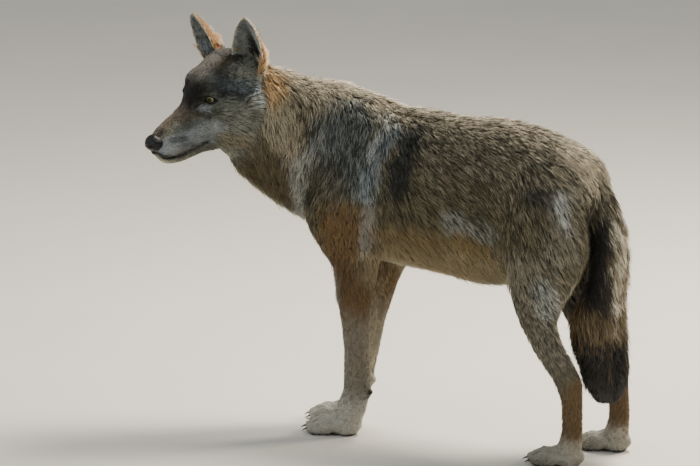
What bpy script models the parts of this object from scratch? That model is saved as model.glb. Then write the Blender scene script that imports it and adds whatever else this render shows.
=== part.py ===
"""Grey wolf, life size, standing with its head turned to its left.

The nose end points towards -X, the wolf's left is -Y and up is +Z. The flesh, with its coat, is fused
from lofted forms and ellipsoids, and is then parted with thin cuts into the named pieces.
"""

import math

import bmesh
import bpy
from mathutils import Matrix, Vector

# Driving dimensions, in metres
GAP = 0.0003
HEAD_YAW = math.radians(64.6)
HEAD_PITCH = math.radians(-17.0)
HEAD_PLACE = Vector((-0.561, -0.150, 0.705))  # the point midway between the eyes
EYE_RADIUS = 0.0118
EYE_CENTRE = Vector((0.0035, 0.0305, 0.0095))  # in the head's frame, right side
GAZE_OUT = math.radians(35)  # how far each eye looks away from straight ahead
LID_OPENING = (0.0130, 0.0150, 0.0082)  # half sizes of the hollow: along the gaze, across and upright
LID_SLANT = math.radians(-14)
EAR_HEIGHT = 0.103
EAR_WIDTH = 0.0415
EAR_WALL = 0.0050
EAR_PLACE = (0.084, 0.0715, 0.056)  # in the head's frame, right side
# degrees: how far the opening looks away from straight ahead, lean outwards, lean backwards
EAR_TURNS = {"left": (12, 2, 15), "right": (8, 0, -2)}
BODY_VOXEL = 0.0055
FINE_VOXEL = 0.0032
FAR = 1.0  # beyond every surface

HEAD_FRAME = (
    Matrix.Translation(HEAD_PLACE)
    @ Matrix.Rotation(HEAD_YAW, 4, "Z")
    @ Matrix.Rotation(HEAD_PITCH, 4, "Y")
)
UP = Vector((0, 0, 1))
RIGHT = Vector((0, 1, 0))

# Colours and finish of each kind of surface
FINISHES = {
    "coat_grey": ((0.27, 0.235, 0.19, 1), 0.85),
    "coat_tan": ((0.42, 0.31, 0.20, 1), 0.85),
    "coat_dark": ((0.10, 0.085, 0.07, 1), 0.85),
    "nose_skin": ((0.018, 0.018, 0.02, 1), 0.40),
    "eye_amber": ((0.45, 0.34, 0.10, 1), 0.08),
    "claw_horn": ((0.06, 0.05, 0.042, 1), 0.45),
}

# Trunk rings from the breast back to the root of the tail: x, top, bottom, half width, share of the
# height at which the ring is widest
TRUNK = [
    (-0.345, 0.590, 0.430, 0.045, 0.52),
    (-0.300, 0.680, 0.398, 0.080, 0.52),
    (-0.240, 0.716, 0.380, 0.100, 0.52),
    (-0.180, 0.702, 0.368, 0.110, 0.52),
    (-0.110, 0.701, 0.361, 0.116, 0.52),
    (-0.040, 0.692, 0.355, 0.119, 0.52),
    (0.030, 0.696, 0.346, 0.113, 0.52),
    (0.090, 0.694, 0.352, 0.103, 0.52),
    (0.140, 0.686, 0.395, 0.098, 0.52),
    (0.190, 0.673, 0.430, 0.094, 0.52),
    (0.240, 0.652, 0.465, 0.082, 0.52),
    (0.275, 0.630, 0.500, 0.062, 0.52),
    (0.298, 0.600, 0.540, 0.035, 0.52),
]

# Neck rings from inside the shoulders to the skull: centre, above, below, half width
NECK = [
    ((-0.220, 0.000, 0.565), 0.148, 0.165, 0.096),
    ((-0.300, -0.004, 0.585), 0.150, 0.160, 0.100),
    ((-0.370, -0.015, 0.610), 0.142, 0.155, 0.104),
    ((-0.430, -0.035, 0.640), 0.120, 0.140, 0.103),
    ((-0.475, -0.062, 0.672), 0.106, 0.122, 0.095),
    ((-0.512, -0.090, 0.700), 0.090, 0.098, 0.082),
]

# Foreleg rings from the shoulder blade down: height, front, back, distance from the middle, half width
FORELEG = [
    (0.665, -0.235, -0.165, 0.048, 0.026),
    (0.600, -0.310, -0.170, 0.064, 0.036),
    (0.530, -0.350, -0.175, 0.074, 0.042),
    (0.465, -0.355, -0.175, 0.078, 0.044),
    (0.420, -0.330, -0.178, 0.080, 0.042),
    (0.375, -0.294, -0.183, 0.080, 0.038),
    (0.335, -0.286, -0.192, 0.079, 0.034),
    (0.285, -0.276, -0.202, 0.078, 0.031),
    (0.235, -0.268, -0.207, 0.077, 0.028),
    (0.185, -0.264, -0.207, 0.076, 0.0255),
    (0.140, -0.264, -0.206, 0.075, 0.0265),
    (0.105, -0.265, -0.208, 0.075, 0.0270),
    (0.070, -0.273, -0.212, 0.075, 0.0265),
    (0.042, -0.284, -0.222, 0.075, 0.0275),
    (0.020, -0.284, -0.234, 0.075, 0.0250),
]

# Hind leg rings from the hip down, in the same order
HINDLEG = [
    (0.620, 0.140, 0.255, 0.050, 0.036),
    (0.560, 0.112, 0.268, 0.060, 0.046),
    (0.500, 0.102, 0.288, 0.070, 0.050),
    (0.450, 0.104, 0.296, 0.076, 0.048),
    (0.400, 0.113, 0.281, 0.080, 0.042),
    (0.350, 0.126, 0.252, 0.083, 0.035),
    (0.300, 0.146, 0.230, 0.085, 0.029),
    (0.255, 0.170, 0.246, 0.085, 0.025),
    (0.215, 0.197, 0.270, 0.085, 0.022),
    (0.185, 0.222, 0.290, 0.085, 0.0225),
    (0.150, 0.241, 0.291, 0.084, 0.0215),
    (0.110, 0.247, 0.291, 0.084, 0.0205),
    (0.070, 0.246, 0.291, 0.083, 0.0225),
    (0.040, 0.238, 0.288, 0.083, 0.0260),
    (0.018, 0.232, 0.284, 0.083, 0.0240),
]

# Tail rings from its root down: height, front, back, half width
TAIL = [
    (0.615, 0.225, 0.285, 0.026),
    (0.570, 0.243, 0.316, 0.032),
    (0.520, 0.256, 0.336, 0.038),
    (0.460, 0.266, 0.350, 0.042),
    (0.400, 0.268, 0.350, 0.044),
    (0.345, 0.252, 0.343, 0.048),
    (0.290, 0.226, 0.345, 0.058),
    (0.240, 0.232, 0.350, 0.057),
    (0.195, 0.252, 0.353, 0.048),
    (0.155, 0.268, 0.345, 0.037),
    (0.125, 0.283, 0.330, 0.023),
]

# Head rings in the head's frame, from the muzzle back: x, top, bottom, half width, share of the height
# at which the ring is widest
HEAD_RINGS = [
    (-0.148, -0.028, -0.058, 0.0120, 0.42),
    (-0.141, -0.0215, -0.066, 0.0180, 0.36),
    (-0.125, -0.0125, -0.074, 0.0245, 0.34),
    (-0.100, -0.0035, -0.079, 0.0275, 0.32),
    (-0.075, 0.0025, -0.080, 0.0310, 0.33),
    (-0.052, 0.0090, -0.081, 0.0350, 0.36),
    (-0.032, 0.027, -0.083, 0.0385, 0.36),
    (-0.012, 0.050, -0.088, 0.0440, 0.38),
    (0.010, 0.066, -0.094, 0.0530, 0.42),
    (0.035, 0.075, -0.098, 0.0620, 0.45),
    (0.060, 0.082, -0.102, 0.0690, 0.46),
    (0.090, 0.080, -0.104, 0.0730, 0.47),
    (0.120, 0.068, -0.100, 0.0710, 0.50),
    (0.150, 0.045, -0.085, 0.0600, 0.50),
]
JAW_RINGS = [
    (-0.140, -0.062, -0.078, 0.0130, 0.60),
    (-0.127, -0.060, -0.091, 0.0185, 0.60),
    (-0.100, -0.060, -0.099, 0.0220, 0.60),
    (-0.070, -0.060, -0.100, 0.0255, 0.60),
    (-0.040, -0.055, -0.102, 0.0320, 0.60),
    (0.000, -0.050, -0.108, 0.0420, 0.60),
    (0.040, -0.050, -0.108, 0.0450, 0.60),
]
# The lower jaw in side view: the mouth line from the front back to its corner, then round below
JAW_OUTLINE = [
    (-0.190, -0.0655),
    (-0.146, -0.0655),
    (-0.136, -0.0720),
    (-0.122, -0.0765),
    (-0.102, -0.0800),
    (-0.080, -0.0800),
    (-0.060, -0.0790),
    (-0.040, -0.0755),
    (-0.028, -0.0900),
    (-0.010, -0.1300),
    (-0.190, -0.1300),
]

# Ellipsoids of the head: centre, radii, whether there is one on each side
HEAD_MASSES = [
    ((0.020, 0.021, 0.042), (0.038, 0.024, 0.023), True),  # forehead
    ((-0.004, 0.0315, 0.0255), (0.022, 0.0130, 0.0095), True),  # brow
    ((0.020, 0.048, -0.012), (0.038, 0.019, 0.019), True),  # cheekbone
    ((0.048, 0.046, -0.038), (0.062, 0.038, 0.056), True),  # jaw muscle
    ((0.090, 0.050, -0.038), (0.052, 0.042, 0.064), True),  # cheek ruff
    ((-0.106, 0.0160, -0.059), (0.040, 0.0135, 0.019), True),  # upper lip
    ((-0.038, 0.0240, -0.016), (0.034, 0.0125, 0.018), True),  # face ahead of the eye
    ((0.100, 0.050, 0.032), (0.040, 0.030, 0.032), True),  # root of the ear
    ((0.090, 0.064, 0.016), (0.042, 0.037, 0.041), True),  # outer side of the ear's root
]


def spline(values, steps):
    """Catmull-Rom rows between the given rows of numbers, with steps rows to each stretch."""
    rows = [[float(v) for v in row] for row in values]
    rows = [rows[0]] + rows + [rows[-1]]
    result = []
    for before, start, end, after in zip(rows, rows[1:], rows[2:], rows[3:]):
        for step in range(steps):
            t = step / steps
            result.append(
                [
                    0.5
                    * (
                        2 * b
                        + (c - a) * t
                        + (2 * a - 5 * b + 4 * c - d) * t * t
                        + (3 * b - a - 3 * c + d) * t**3
                    )
                    for a, b, c, d in zip(before, start, end, after)
                ]
            )
    result.append(rows[-2])
    return result


def link(name, mesh):
    obj = bpy.data.objects.new(name, mesh)
    bpy.context.scene.collection.objects.link(obj)
    return obj


def tube(name, rings):
    """A closed tube through rings of points, with a fan at each end."""
    bm = bmesh.new()
    loops = [[bm.verts.new(point) for point in ring] for ring in rings]
    for first, second in zip(loops, loops[1:]):
        for i in range(len(first)):
            j = (i + 1) % len(first)
            bm.faces.new((first[i], first[j], second[j], second[i]))
    for loop in (loops[0], loops[-1]):
        middle = bm.verts.new(sum((v.co for v in loop), Vector()) / len(loop))
        for i in range(len(loop)):
            bm.faces.new((loop[i], loop[(i + 1) % len(loop)], middle))
    bmesh.ops.recalc_face_normals(bm, faces=bm.faces)
    mesh = bpy.data.meshes.new(name)
    bm.to_mesh(mesh)
    bm.free()
    return link(name, mesh)


def oval(centre, across, rise, side, above, below, sides=28, power=2.0):
    """One ring: an oval whose upper and lower halves may differ, squarer with a power over 2."""
    points = []
    for i in range(sides):
        angle = 2 * math.pi * i / sides
        width = math.copysign(abs(math.cos(angle)) ** (2 / power), math.cos(angle))
        height = math.copysign(abs(math.sin(angle)) ** (2 / power), math.sin(angle))
        points.append(
            centre + across * (side * width) + rise * (height * (above if height > 0 else below))
        )
    return points


def rings_along_x(rows, power=2.0):
    """Upright rings from rows of x, top, bottom, half width and share of the height where widest."""
    rings = []
    for x, top, bottom, side, share in spline(rows, 4):
        middle = bottom + (top - bottom) * share
        above, below = top - middle, middle - bottom
        rings.append(oval(Vector((x, 0, middle)), RIGHT, UP, side, above, below, power=power))
    return rings


def rings_down(rows, sign=1, shift=(0.0, 0.0), swing_from=0.4, swing_to=0.1):
    """Level rings from rows of height, front, back, distance from the middle and half width.

    Below swing_from they lean fore or aft and sideways, by the whole shift at swing_to and lower."""
    rings = []
    for z, front, back, out, side in spline(rows, 3):
        share = min(1.0, max(0.0, (swing_from - z) / (swing_from - swing_to)))
        middle = Vector(((front + back) / 2 + shift[0] * share, sign * out + shift[1] * share, z))
        half = (back - front) / 2
        rings.append(oval(middle, RIGHT, Vector((1, 0, 0)), side, half, half))
    return rings


def neck_rings():
    rows = spline([[*centre, above, below, side] for centre, above, below, side in NECK], 4)
    centres = [Vector(row[:3]) for row in rows]
    rings = []
    for i, row in enumerate(rows):
        tangent = centres[min(i + 1, len(rows) - 1)] - centres[max(i - 1, 0)]
        tangent.normalize()
        across = UP.cross(tangent).normalized()
        rings.append(oval(centres[i], across, tangent.cross(across), row[5], row[3], row[4]))
    return rings


def ball(name, centre, radii, turn=None, level=3):
    bm = bmesh.new()
    bmesh.ops.create_icosphere(bm, subdivisions=level, radius=1.0)
    place = Matrix.Translation(centre) @ (turn or Matrix.Identity(4)) @ Matrix.Diagonal((*radii, 1))
    bmesh.ops.transform(bm, matrix=place, verts=bm.verts)
    mesh = bpy.data.meshes.new(name)
    bm.to_mesh(mesh)
    bm.free()
    return link(name, mesh)


def both_sides(centre, paired):
    x, y, z = centre
    return [Vector((x, y, z)), Vector((x, -y, z))] if paired else [Vector((x, y, z))]


def in_head(obj):
    """Moves an object modelled in the head's frame to the head's place."""
    obj.data.transform(HEAD_FRAME)
    return obj


def head_forms():
    forms = [
        tube("head_form", rings_along_x(HEAD_RINGS, power=2.3)),
        tube("jaw_form", rings_along_x(JAW_RINGS, power=2.3)),
    ]
    for centre, radii, paired in HEAD_MASSES:
        forms += [ball("mass_form", place, radii) for place in both_sides(centre, paired)]
    return [in_head(form) for form in forms]


# Toes across the paw: share of the paw's half width, how far the toe ends behind the foremost
TOES = [(-0.78, 0.015), (-0.27, 0.0), (0.27, 0.0), (0.78, 0.015)]
FORE_PAW = {"tip": -0.354, "heel": -0.236, "out": 0.075, "half_width": 0.043, "top": 0.060}
HIND_PAW = {"tip": 0.170, "heel": 0.287, "out": 0.083, "half_width": 0.037, "top": 0.060}
# How far each foot stands from its own place under the leg: aft, and towards the right
FOOT_SHIFTS = {
    ("left", True): (-0.004, 0.008),
    ("right", True): (-0.050, -0.042),
    ("left", False): (0.0, 0.0),
    ("right", False): (0.032, -0.004),
}


class Leg:
    """One leg: its side, its rings, its paw and how far the foot stands fore or aft of its own place."""

    def __init__(self, side, fore):
        self.side = side
        self.fore = fore
        self.sign = -1 if side == "left" else 1
        self.rows = FORELEG if fore else HINDLEG
        self.paw = FORE_PAW if fore else HIND_PAW
        self.shift = FOOT_SHIFTS[side, fore]
        self.foot_y = self.sign * self.paw["out"] + self.shift[1]
        self.paw_name = side + ("_forepaw" if fore else "_hindpaw")

    def toe_ends(self):
        """Where each toe ends, on the floor."""
        half = self.paw["half_width"]
        return [
            Vector((self.paw["tip"] + self.shift[0] + behind, self.foot_y + share * half, 0))
            for share, behind in TOES
        ]

    def forms(self):
        made = [tube("leg_form", rings_down(self.rows, self.sign, self.shift))]
        paw_y = self.foot_y
        half = self.paw["half_width"]
        radius = half * 0.315
        for end in self.toe_ends():
            knuckle = Vector((end.x + 0.040, paw_y + (end.y - paw_y) * 0.92, 0.0185))
            middle = Vector((end.x + 0.018, end.y, 0.0125))
            pad = Vector((end.x + 0.022, end.y, 0.0060))
            made.append(ball("knuckle_form", knuckle, (0.0260, radius, 0.0175)))
            made.append(ball("toe_form", middle, (0.0185, radius * 0.92, 0.0140)))
            made.append(ball("toe_pad_form", pad, (0.0140, radius * 0.80, 0.0100)))
        heel_x = self.paw["heel"] + self.shift[0]
        instep = Vector((heel_x - 0.034, paw_y, 0.022))
        made.append(ball("instep_form", instep, (0.044, half * 0.76, 0.0235)))
        made.append(ball("heel_form", Vector((heel_x - 0.022, paw_y, 0.008)), (0.021, half * 0.62, 0.012)))
        if self.fore:
            wrist = Vector((-0.206 + self.shift[0], paw_y, 0.098))
            made.append(ball("wrist_pad_form", wrist, (0.0120, 0.0105, 0.0115)))
            made.append(ball("dewclaw_form", self.dewclaw_root(), (0.0100, 0.0075, 0.0120)))
        return made

    def dewclaw_root(self):
        """The small fifth toe, inside the wrist."""
        return Vector((-0.240 + self.shift[0], self.foot_y - self.sign * 0.0255, 0.0830))

    def claws(self):
        made = []
        for number, end in enumerate(self.toe_ends(), 1):
            spread = math.radians(7) * (2 * number - 5) / 3
            heading = Vector((-math.cos(spread), math.sin(spread), 0))
            root = Vector((end.x + 0.0135, end.y, 0.0145))
            made.append(claw(f"{self.paw_name}_claw_{number}", root, heading, 0.0240, 0.0044))
        if self.fore:
            heading = Vector((-0.80, 0, -0.60))
            name = self.side + "_dewclaw"
            made.append(claw(name, self.dewclaw_root() + heading * 0.004, heading, 0.0170, 0.0036))
        return made


LEGS = [Leg(side, fore) for fore in (True, False) for side in ("left", "right")]


def evaluated_mesh(obj):
    graph = bpy.context.evaluated_depsgraph_get()
    return bpy.data.meshes.new_from_object(obj.evaluated_get(graph))


def fuse(name, forms, voxel, smoothing, triangles):
    """Joins copies of the forms into one closed skin with about that many triangles."""
    bm = bmesh.new()
    for form in forms:
        bm.from_mesh(form.data)
    mesh = bpy.data.meshes.new(name)
    bm.to_mesh(mesh)
    bm.free()
    obj = link(name, mesh)
    remesh = obj.modifiers.new("Remesh", "REMESH")
    remesh.mode = "VOXEL"
    remesh.voxel_size = voxel
    smooth = obj.modifiers.new("Smooth", "SMOOTH")
    smooth.iterations = smoothing
    fine = evaluated_mesh(obj)
    fine.calc_loop_triangles()
    decimate = obj.modifiers.new("Decimate", "DECIMATE")
    decimate.ratio = min(1.0, triangles / len(fine.loop_triangles))
    obj.data = evaluated_mesh(obj)
    obj.modifiers.clear()
    return obj


def helper(obj):
    """Marks an object that only cuts others."""
    obj.hide_render = True
    obj.display_type = "WIRE"
    return obj


def prism_cell(outline, ends, axis, frame=Matrix.Identity(4)):
    """A prism along an axis from an outline in the other two, between two ends, to part the flesh."""
    others = [k for k in range(3) if k != axis]
    bm = bmesh.new()
    caps = []
    for end in ends:
        cap = []
        for pair in outline:
            point = Vector((end, end, end))
            point[others[0]], point[others[1]] = pair
            cap.append(bm.verts.new(frame @ point))
        bm.faces.new(cap)
        caps.append(cap)
    near, away = caps
    for i in range(len(near)):
        j = (i + 1) % len(near)
        bm.faces.new((near[i], near[j], away[j], away[i]))
    bmesh.ops.recalc_face_normals(bm, faces=bm.faces)
    mesh = bpy.data.meshes.new("cell")
    bm.to_mesh(mesh)
    bm.free()
    return helper(link("cell", mesh))


def boolean(obj, other, operation):
    """Cuts or keeps the object's mesh with one exact Boolean, applied at once."""
    modifier = obj.modifiers.new("Boolean", "BOOLEAN")
    modifier.operation = operation
    modifier.object = other
    modifier.solver = "EXACT"
    bpy.context.view_layer.update()
    obj.data = evaluated_mesh(obj)
    obj.modifiers.clear()
    return obj


def copy_of(obj, name):
    return link(name, obj.data.copy())


def largest_body(obj):
    """Keeps only the object's largest connected body, without the crumbs a cut can leave."""
    bm = bmesh.new()
    bm.from_mesh(obj.data)
    unseen = set(bm.verts)
    bodies = []
    while unseen:
        stack = [unseen.pop()]
        body = set(stack)
        while stack:
            for edge in stack.pop().link_edges:
                for vert in edge.verts:
                    if vert in unseen:
                        unseen.discard(vert)
                        body.add(vert)
                        stack.append(vert)
        bodies.append(body)
    keep = max(bodies, key=len)
    bmesh.ops.delete(bm, geom=[v for v in bm.verts if v not in keep], context="VERTS")
    bm.to_mesh(obj.data)
    bm.free()
    return obj


def take(source, name, cell):
    """The part of the source inside a cell, as a new piece."""
    return largest_body(boolean(copy_of(source, name), cell, "INTERSECT"))


def leave(obj, piece_cell):
    """Cuts a cell, and the gap round it, out of the object."""
    return boolean(obj, swollen(piece_cell, GAP), "DIFFERENCE")


def swollen(obj, amount):
    """A cutter like the object but larger by that much all round, to cut room for it."""
    cutter = helper(copy_of(obj, "cutter"))
    bm = bmesh.new()
    bm.from_mesh(cutter.data)
    bm.normal_update()
    shifts = {v: v.normal * (amount * min(v.calc_shell_factor(), 1.8)) for v in bm.verts}
    for vert, shift in shifts.items():
        vert.co += shift
    bm.to_mesh(cutter.data)
    bm.free()
    return cutter


def ear(side):
    """A leaf-shaped cupped shell, open towards the front."""
    sign = -1 if side == "left" else 1
    out, lean, back = (math.radians(angle) for angle in EAR_TURNS[side])
    bm = bmesh.new()
    rows, columns = 14, 11
    grid = []
    for i in range(rows + 1):
        v = i / rows
        root = 1 - 0.38 * max(0, 1 - v / 0.4) ** 1.5
        half = EAR_WIDTH * root * (1 - v**2.9) ** 0.67 * (0.96 + 0.42 * v * (1 - v)) + 0.0012
        cup = 1.57 - 0.75 * v
        height = EAR_HEIGHT * (v * 1.2 - 0.2)
        line = []
        for j in range(columns):
            angle = cup * (2 * j / (columns - 1) - 1)
            across = half * math.sin(angle) / math.sin(cup)
            depth = half * (math.cos(angle) - math.cos(cup)) / math.sin(cup)
            line.append(bm.verts.new((depth - 0.008 * v * v, across, height)))
        grid.append(line)
    for low, high in zip(grid, grid[1:]):
        for j in range(columns - 1):
            bm.faces.new((low[j], low[j + 1], high[j + 1], high[j]))
    mesh = bpy.data.meshes.new("leaf")
    bm.to_mesh(mesh)
    bm.free()
    leaf = link("leaf", mesh)
    solidify = leaf.modifiers.new("Solidify", "SOLIDIFY")
    solidify.thickness = EAR_WALL
    solidify.offset = 0
    leaf.data = evaluated_mesh(leaf)
    leaf.modifiers.clear()
    obj = fuse("ear", [leaf], 0.0016, 3, 280)
    turn = Matrix.Rotation(-sign * out, 4, "Z")
    tilt = Matrix.Rotation(back, 4, "Y") @ Matrix.Rotation(-sign * lean, 4, "X")
    place = Matrix.Translation((EAR_PLACE[0], sign * EAR_PLACE[1], EAR_PLACE[2]))
    obj.data.transform(place @ tilt @ turn)
    return in_head(obj)


def nose():
    """The bare pad at the tip of the muzzle."""
    forms = [ball("nose_form", Vector((-0.1425, 0, -0.0355)), (0.0180, 0.0175, 0.0175))]
    for sign in (-1, 1):
        forms.append(ball("nose_form", Vector((-0.1390, sign * 0.0095, -0.0385)), (0.0185, 0.0115, 0.0150)))
    forms.append(ball("nose_form", Vector((-0.1430, 0, -0.0530)), (0.0105, 0.0055, 0.0100)))
    return in_head(fuse("nose", forms, 0.0018, 3, 240))


def eyeball(centre, turn):
    bm = bmesh.new()
    bmesh.ops.create_uvsphere(bm, u_segments=16, v_segments=9, radius=EYE_RADIUS)
    bmesh.ops.transform(bm, matrix=Matrix.Translation(centre) @ turn, verts=bm.verts)
    mesh = bpy.data.meshes.new("eye")
    bm.to_mesh(mesh)
    bm.free()
    return link("eye", mesh)


def eyes_and_lids(head):
    """Hollows the head between the lids and round each eyeball, and makes the eyeballs."""
    made = {}
    for sign, side in ((-1, "left"), (1, "right")):
        centre = Vector((EYE_CENTRE.x, sign * EYE_CENTRE.y, EYE_CENTRE.z))
        gaze = Matrix.Rotation(-sign * GAZE_OUT, 4, "Z")
        slant = Matrix.Rotation(sign * LID_SLANT, 4, "X")
        middle = centre + gaze @ Vector((-EYE_RADIUS - 0.004, 0, -0.0005))
        opening = ball("opening", middle, LID_OPENING, gaze @ slant, level=2)
        boolean(head, helper(in_head(opening)), "DIFFERENCE")
        eye = in_head(eyeball(centre, gaze @ Matrix.Rotation(math.pi / 2, 4, "Y")))
        boolean(head, swollen(eye, GAP), "DIFFERENCE")
        made["eye_" + side] = eye
    return made


def claw(name, root, heading, length, radius, droop=0.36):
    """A curved cone that leaves the toe forwards and bends down."""
    rings = []
    count = 2
    side = heading.cross(UP).normalized()
    for i in range(count + 1):
        t = i / count
        bend = math.radians(8 + 40 * t)
        along = heading * math.cos(bend) - UP * math.sin(bend)
        centre = root + heading * (length * t) - UP * (length * droop * t * t)
        size = radius * (1 - 0.86 * t**1.3)
        rings.append(oval(centre, side, side.cross(along), size * 0.72, size, size, sides=6))
    return tube(name, rings)


def finish(obj, kind):
    """Shades the object smooth and gives it its own material of one kind."""
    colour, roughness = FINISHES[kind]
    material = bpy.data.materials.new(f"{obj.name}_{kind}")
    material.use_nodes = True
    shader = material.node_tree.nodes["Principled BSDF"]
    shader.inputs["Base Color"].default_value = colour
    shader.inputs["Roughness"].default_value = roughness
    material.diffuse_color = colour
    obj.data.materials.clear()
    obj.data.materials.append(material)
    obj.data.shade_smooth()


def finish_of(name):
    if "claw" in name:
        return "claw_horn"
    if name.startswith("eye"):
        return "eye_amber"
    if name == "nose":
        return "nose_skin"
    if name == "tail":
        return "coat_dark"
    if any(word in name for word in ("paw", "foreleg", "shank")):
        return "coat_tan"
    return "coat_grey"


def centre_over_floor(pieces):
    """Moves everything so that the box round it stands centred over the origin, on z = 0."""
    points = [v.co for piece in pieces for v in piece.data.vertices]
    low = Vector([min(p[k] for p in points) for k in range(3)])
    high = Vector([max(p[k] for p in points) for k in range(3)])
    shift = Matrix.Translation((-(low.x + high.x) / 2, -(low.y + high.y) / 2, -low.z))
    for piece in pieces:
        piece.data.transform(shift)


# Where the flesh is parted. Each leg's outline in y and z is the right leg's; the left leg's mirrors it.
HEAD_CUT_PLACE = (0.105, 0.0, 0.0)  # in the head's frame, a point of the plane between head and neck
HEAD_CUT_LEAN = math.radians(33)
HEAD_CUT_TURN = math.radians(-14)
FORELEG_TOP = 0.405
FORELEG_INNER = 0.036  # how far from the middle the foreleg leaves the chest
FOREFEET_PARTING = -0.0170  # the plane between the two forefeet
FOREARM_FREE = 0.335  # below this height the forelegs stand clear of the chest
FORELEG_SPAN = (-0.60, -0.120)
HINDLEG_TOP = 0.455
HINDLEG_INNER = 0.004
HINDLEG_SPAN = (0.085, 0.60)
HOCK_TOP = 0.225
NECK_BACK = -0.335
CHEST_BACK = -0.045


def leg_outline(leg, low, high):
    """The part of the leg's cell between two heights, in y and z."""
    sign = leg.sign
    if not leg.fore:
        inner = sign * HINDLEG_INNER
        return [(inner, low), (sign * FAR, low), (sign * FAR, high), (inner, high)]
    foot_inner = FOREFEET_PARTING + sign * GAP
    if high <= FOREARM_FREE:
        return [(foot_inner, low), (sign * FAR, low), (sign * FAR, high), (foot_inner, high)]
    inner = sign * FORELEG_INNER
    return [
        (foot_inner, low),
        (sign * FAR, low),
        (sign * FAR, high),
        (inner, high),
        (inner, FOREARM_FREE),
        (foot_inner, FOREARM_FREE),
    ]


def part_leg(leg, forms, rest, pieces):
    """Takes one leg out of the flesh, parted into its pieces, and returns what is left."""
    span = FORELEG_SPAN if leg.fore else HINDLEG_SPAN
    top = FORELEG_TOP if leg.fore else HINDLEG_TOP
    levels = [("paw", leg.paw["top"])]
    levels += [("foreleg", top)] if leg.fore else [("shank", HOCK_TOP), ("thigh", top)]
    foot = fuse("foot", forms, FINE_VOXEL, 2, 600)
    low = 0.0
    for kind, high in levels:
        name = leg.paw_name if kind == "paw" else f"{leg.side}_{kind}"
        source = foot if kind == "paw" else rest
        pieces[name] = take(source, name, prism_cell(leg_outline(leg, low, high), span, 0))
        low = high + GAP
    return leave(rest, prism_cell(leg_outline(leg, -0.1, top), span, 0))


def tail_piece(pieces):
    tail = fuse("tail", [tube("tail_form", rings_down([(z, f, b, 0.0, w) for z, f, b, w in TAIL]))], 0.004, 2, 400)
    for name in ("loins", "left_thigh", "right_thigh", "left_shank", "right_shank"):
        boolean(tail, swollen(pieces[name], GAP), "DIFFERENCE")
    return tail


def build():
    for obj in list(bpy.data.objects):
        bpy.data.objects.remove(obj)

    trunk_form = tube("trunk_form", rings_along_x(TRUNK, power=2.15))
    neck_form = tube("neck_form", neck_rings())
    skull_forms = head_forms()
    limb_forms = {leg: leg.forms() for leg in LEGS}
    forms = [trunk_form, neck_form, *skull_forms]
    for limb in limb_forms.values():
        forms += limb
    flesh = fuse("flesh", forms, BODY_VOXEL, 4, 2600)
    fine_head = fuse("fine_head", [neck_form, trunk_form, *skull_forms], FINE_VOXEL, 9, 2150)

    pieces = {}
    head_cut = (
        HEAD_FRAME
        @ Matrix.Translation(HEAD_CUT_PLACE)
        @ Matrix.Rotation(HEAD_CUT_TURN, 4, "Z")
        @ Matrix.Rotation(HEAD_CUT_LEAN, 4, "Y")
    )
    head_outline = [(-0.4, -0.4), (0.0, -0.4), (0.0, 0.4), (-0.4, 0.4)]
    head = take(fine_head, "head", prism_cell(head_outline, (-0.3, 0.3), 1, head_cut))
    rest = leave(flesh, prism_cell(head_outline, (-0.3, 0.3), 1, head_cut))
    for leg in LEGS:
        rest = part_leg(leg, limb_forms[leg], rest, pieces)
    trunk_cuts = [("neck", -FAR, NECK_BACK), ("chest", NECK_BACK, CHEST_BACK), ("loins", CHEST_BACK, FAR)]
    for name, front, back in trunk_cuts:
        outline = [(front + GAP, 0), (back, 0), (back, FAR), (front + GAP, FAR)]
        pieces[name] = take(rest, name, prism_cell(outline, (-FAR, FAR), 1))

    pieces["nose"] = nose()
    boolean(head, swollen(pieces["nose"], GAP), "DIFFERENCE")
    pieces.update(eyes_and_lids(head))
    jaw_cell = prism_cell(JAW_OUTLINE, (-0.1, 0.1), 1, HEAD_FRAME)
    pieces["lower_jaw"] = take(head, "lower_jaw", jaw_cell)
    pieces["head"] = leave(head, jaw_cell)
    for side in ("left", "right"):
        shell = ear(side)
        boolean(shell, swollen(pieces["head"], GAP), "DIFFERENCE")
        boolean(shell, swollen(pieces["neck"], GAP), "DIFFERENCE")
        pieces["ear_" + side] = shell
    pieces["tail"] = tail_piece(pieces)
    for leg in LEGS:
        for one in leg.claws():
            held_by = leg.side + "_foreleg" if "dewclaw" in one.name else leg.paw_name
            boolean(pieces[held_by], swollen(one, GAP), "DIFFERENCE")
            pieces[one.name] = one

    for obj in list(bpy.data.objects):
        if obj not in pieces.values():
            bpy.data.objects.remove(obj)
    for name, obj in pieces.items():
        obj.name = name
        largest_body(obj)
        finish(obj, finish_of(name))
    centre_over_floor(list(pieces.values()))


build()
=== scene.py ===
import math
import time

import bpy
import numpy as np
from mathutils import Matrix, Vector
from mathutils.bvhtree import BVHTree
from mathutils.kdtree import KDTree


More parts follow.
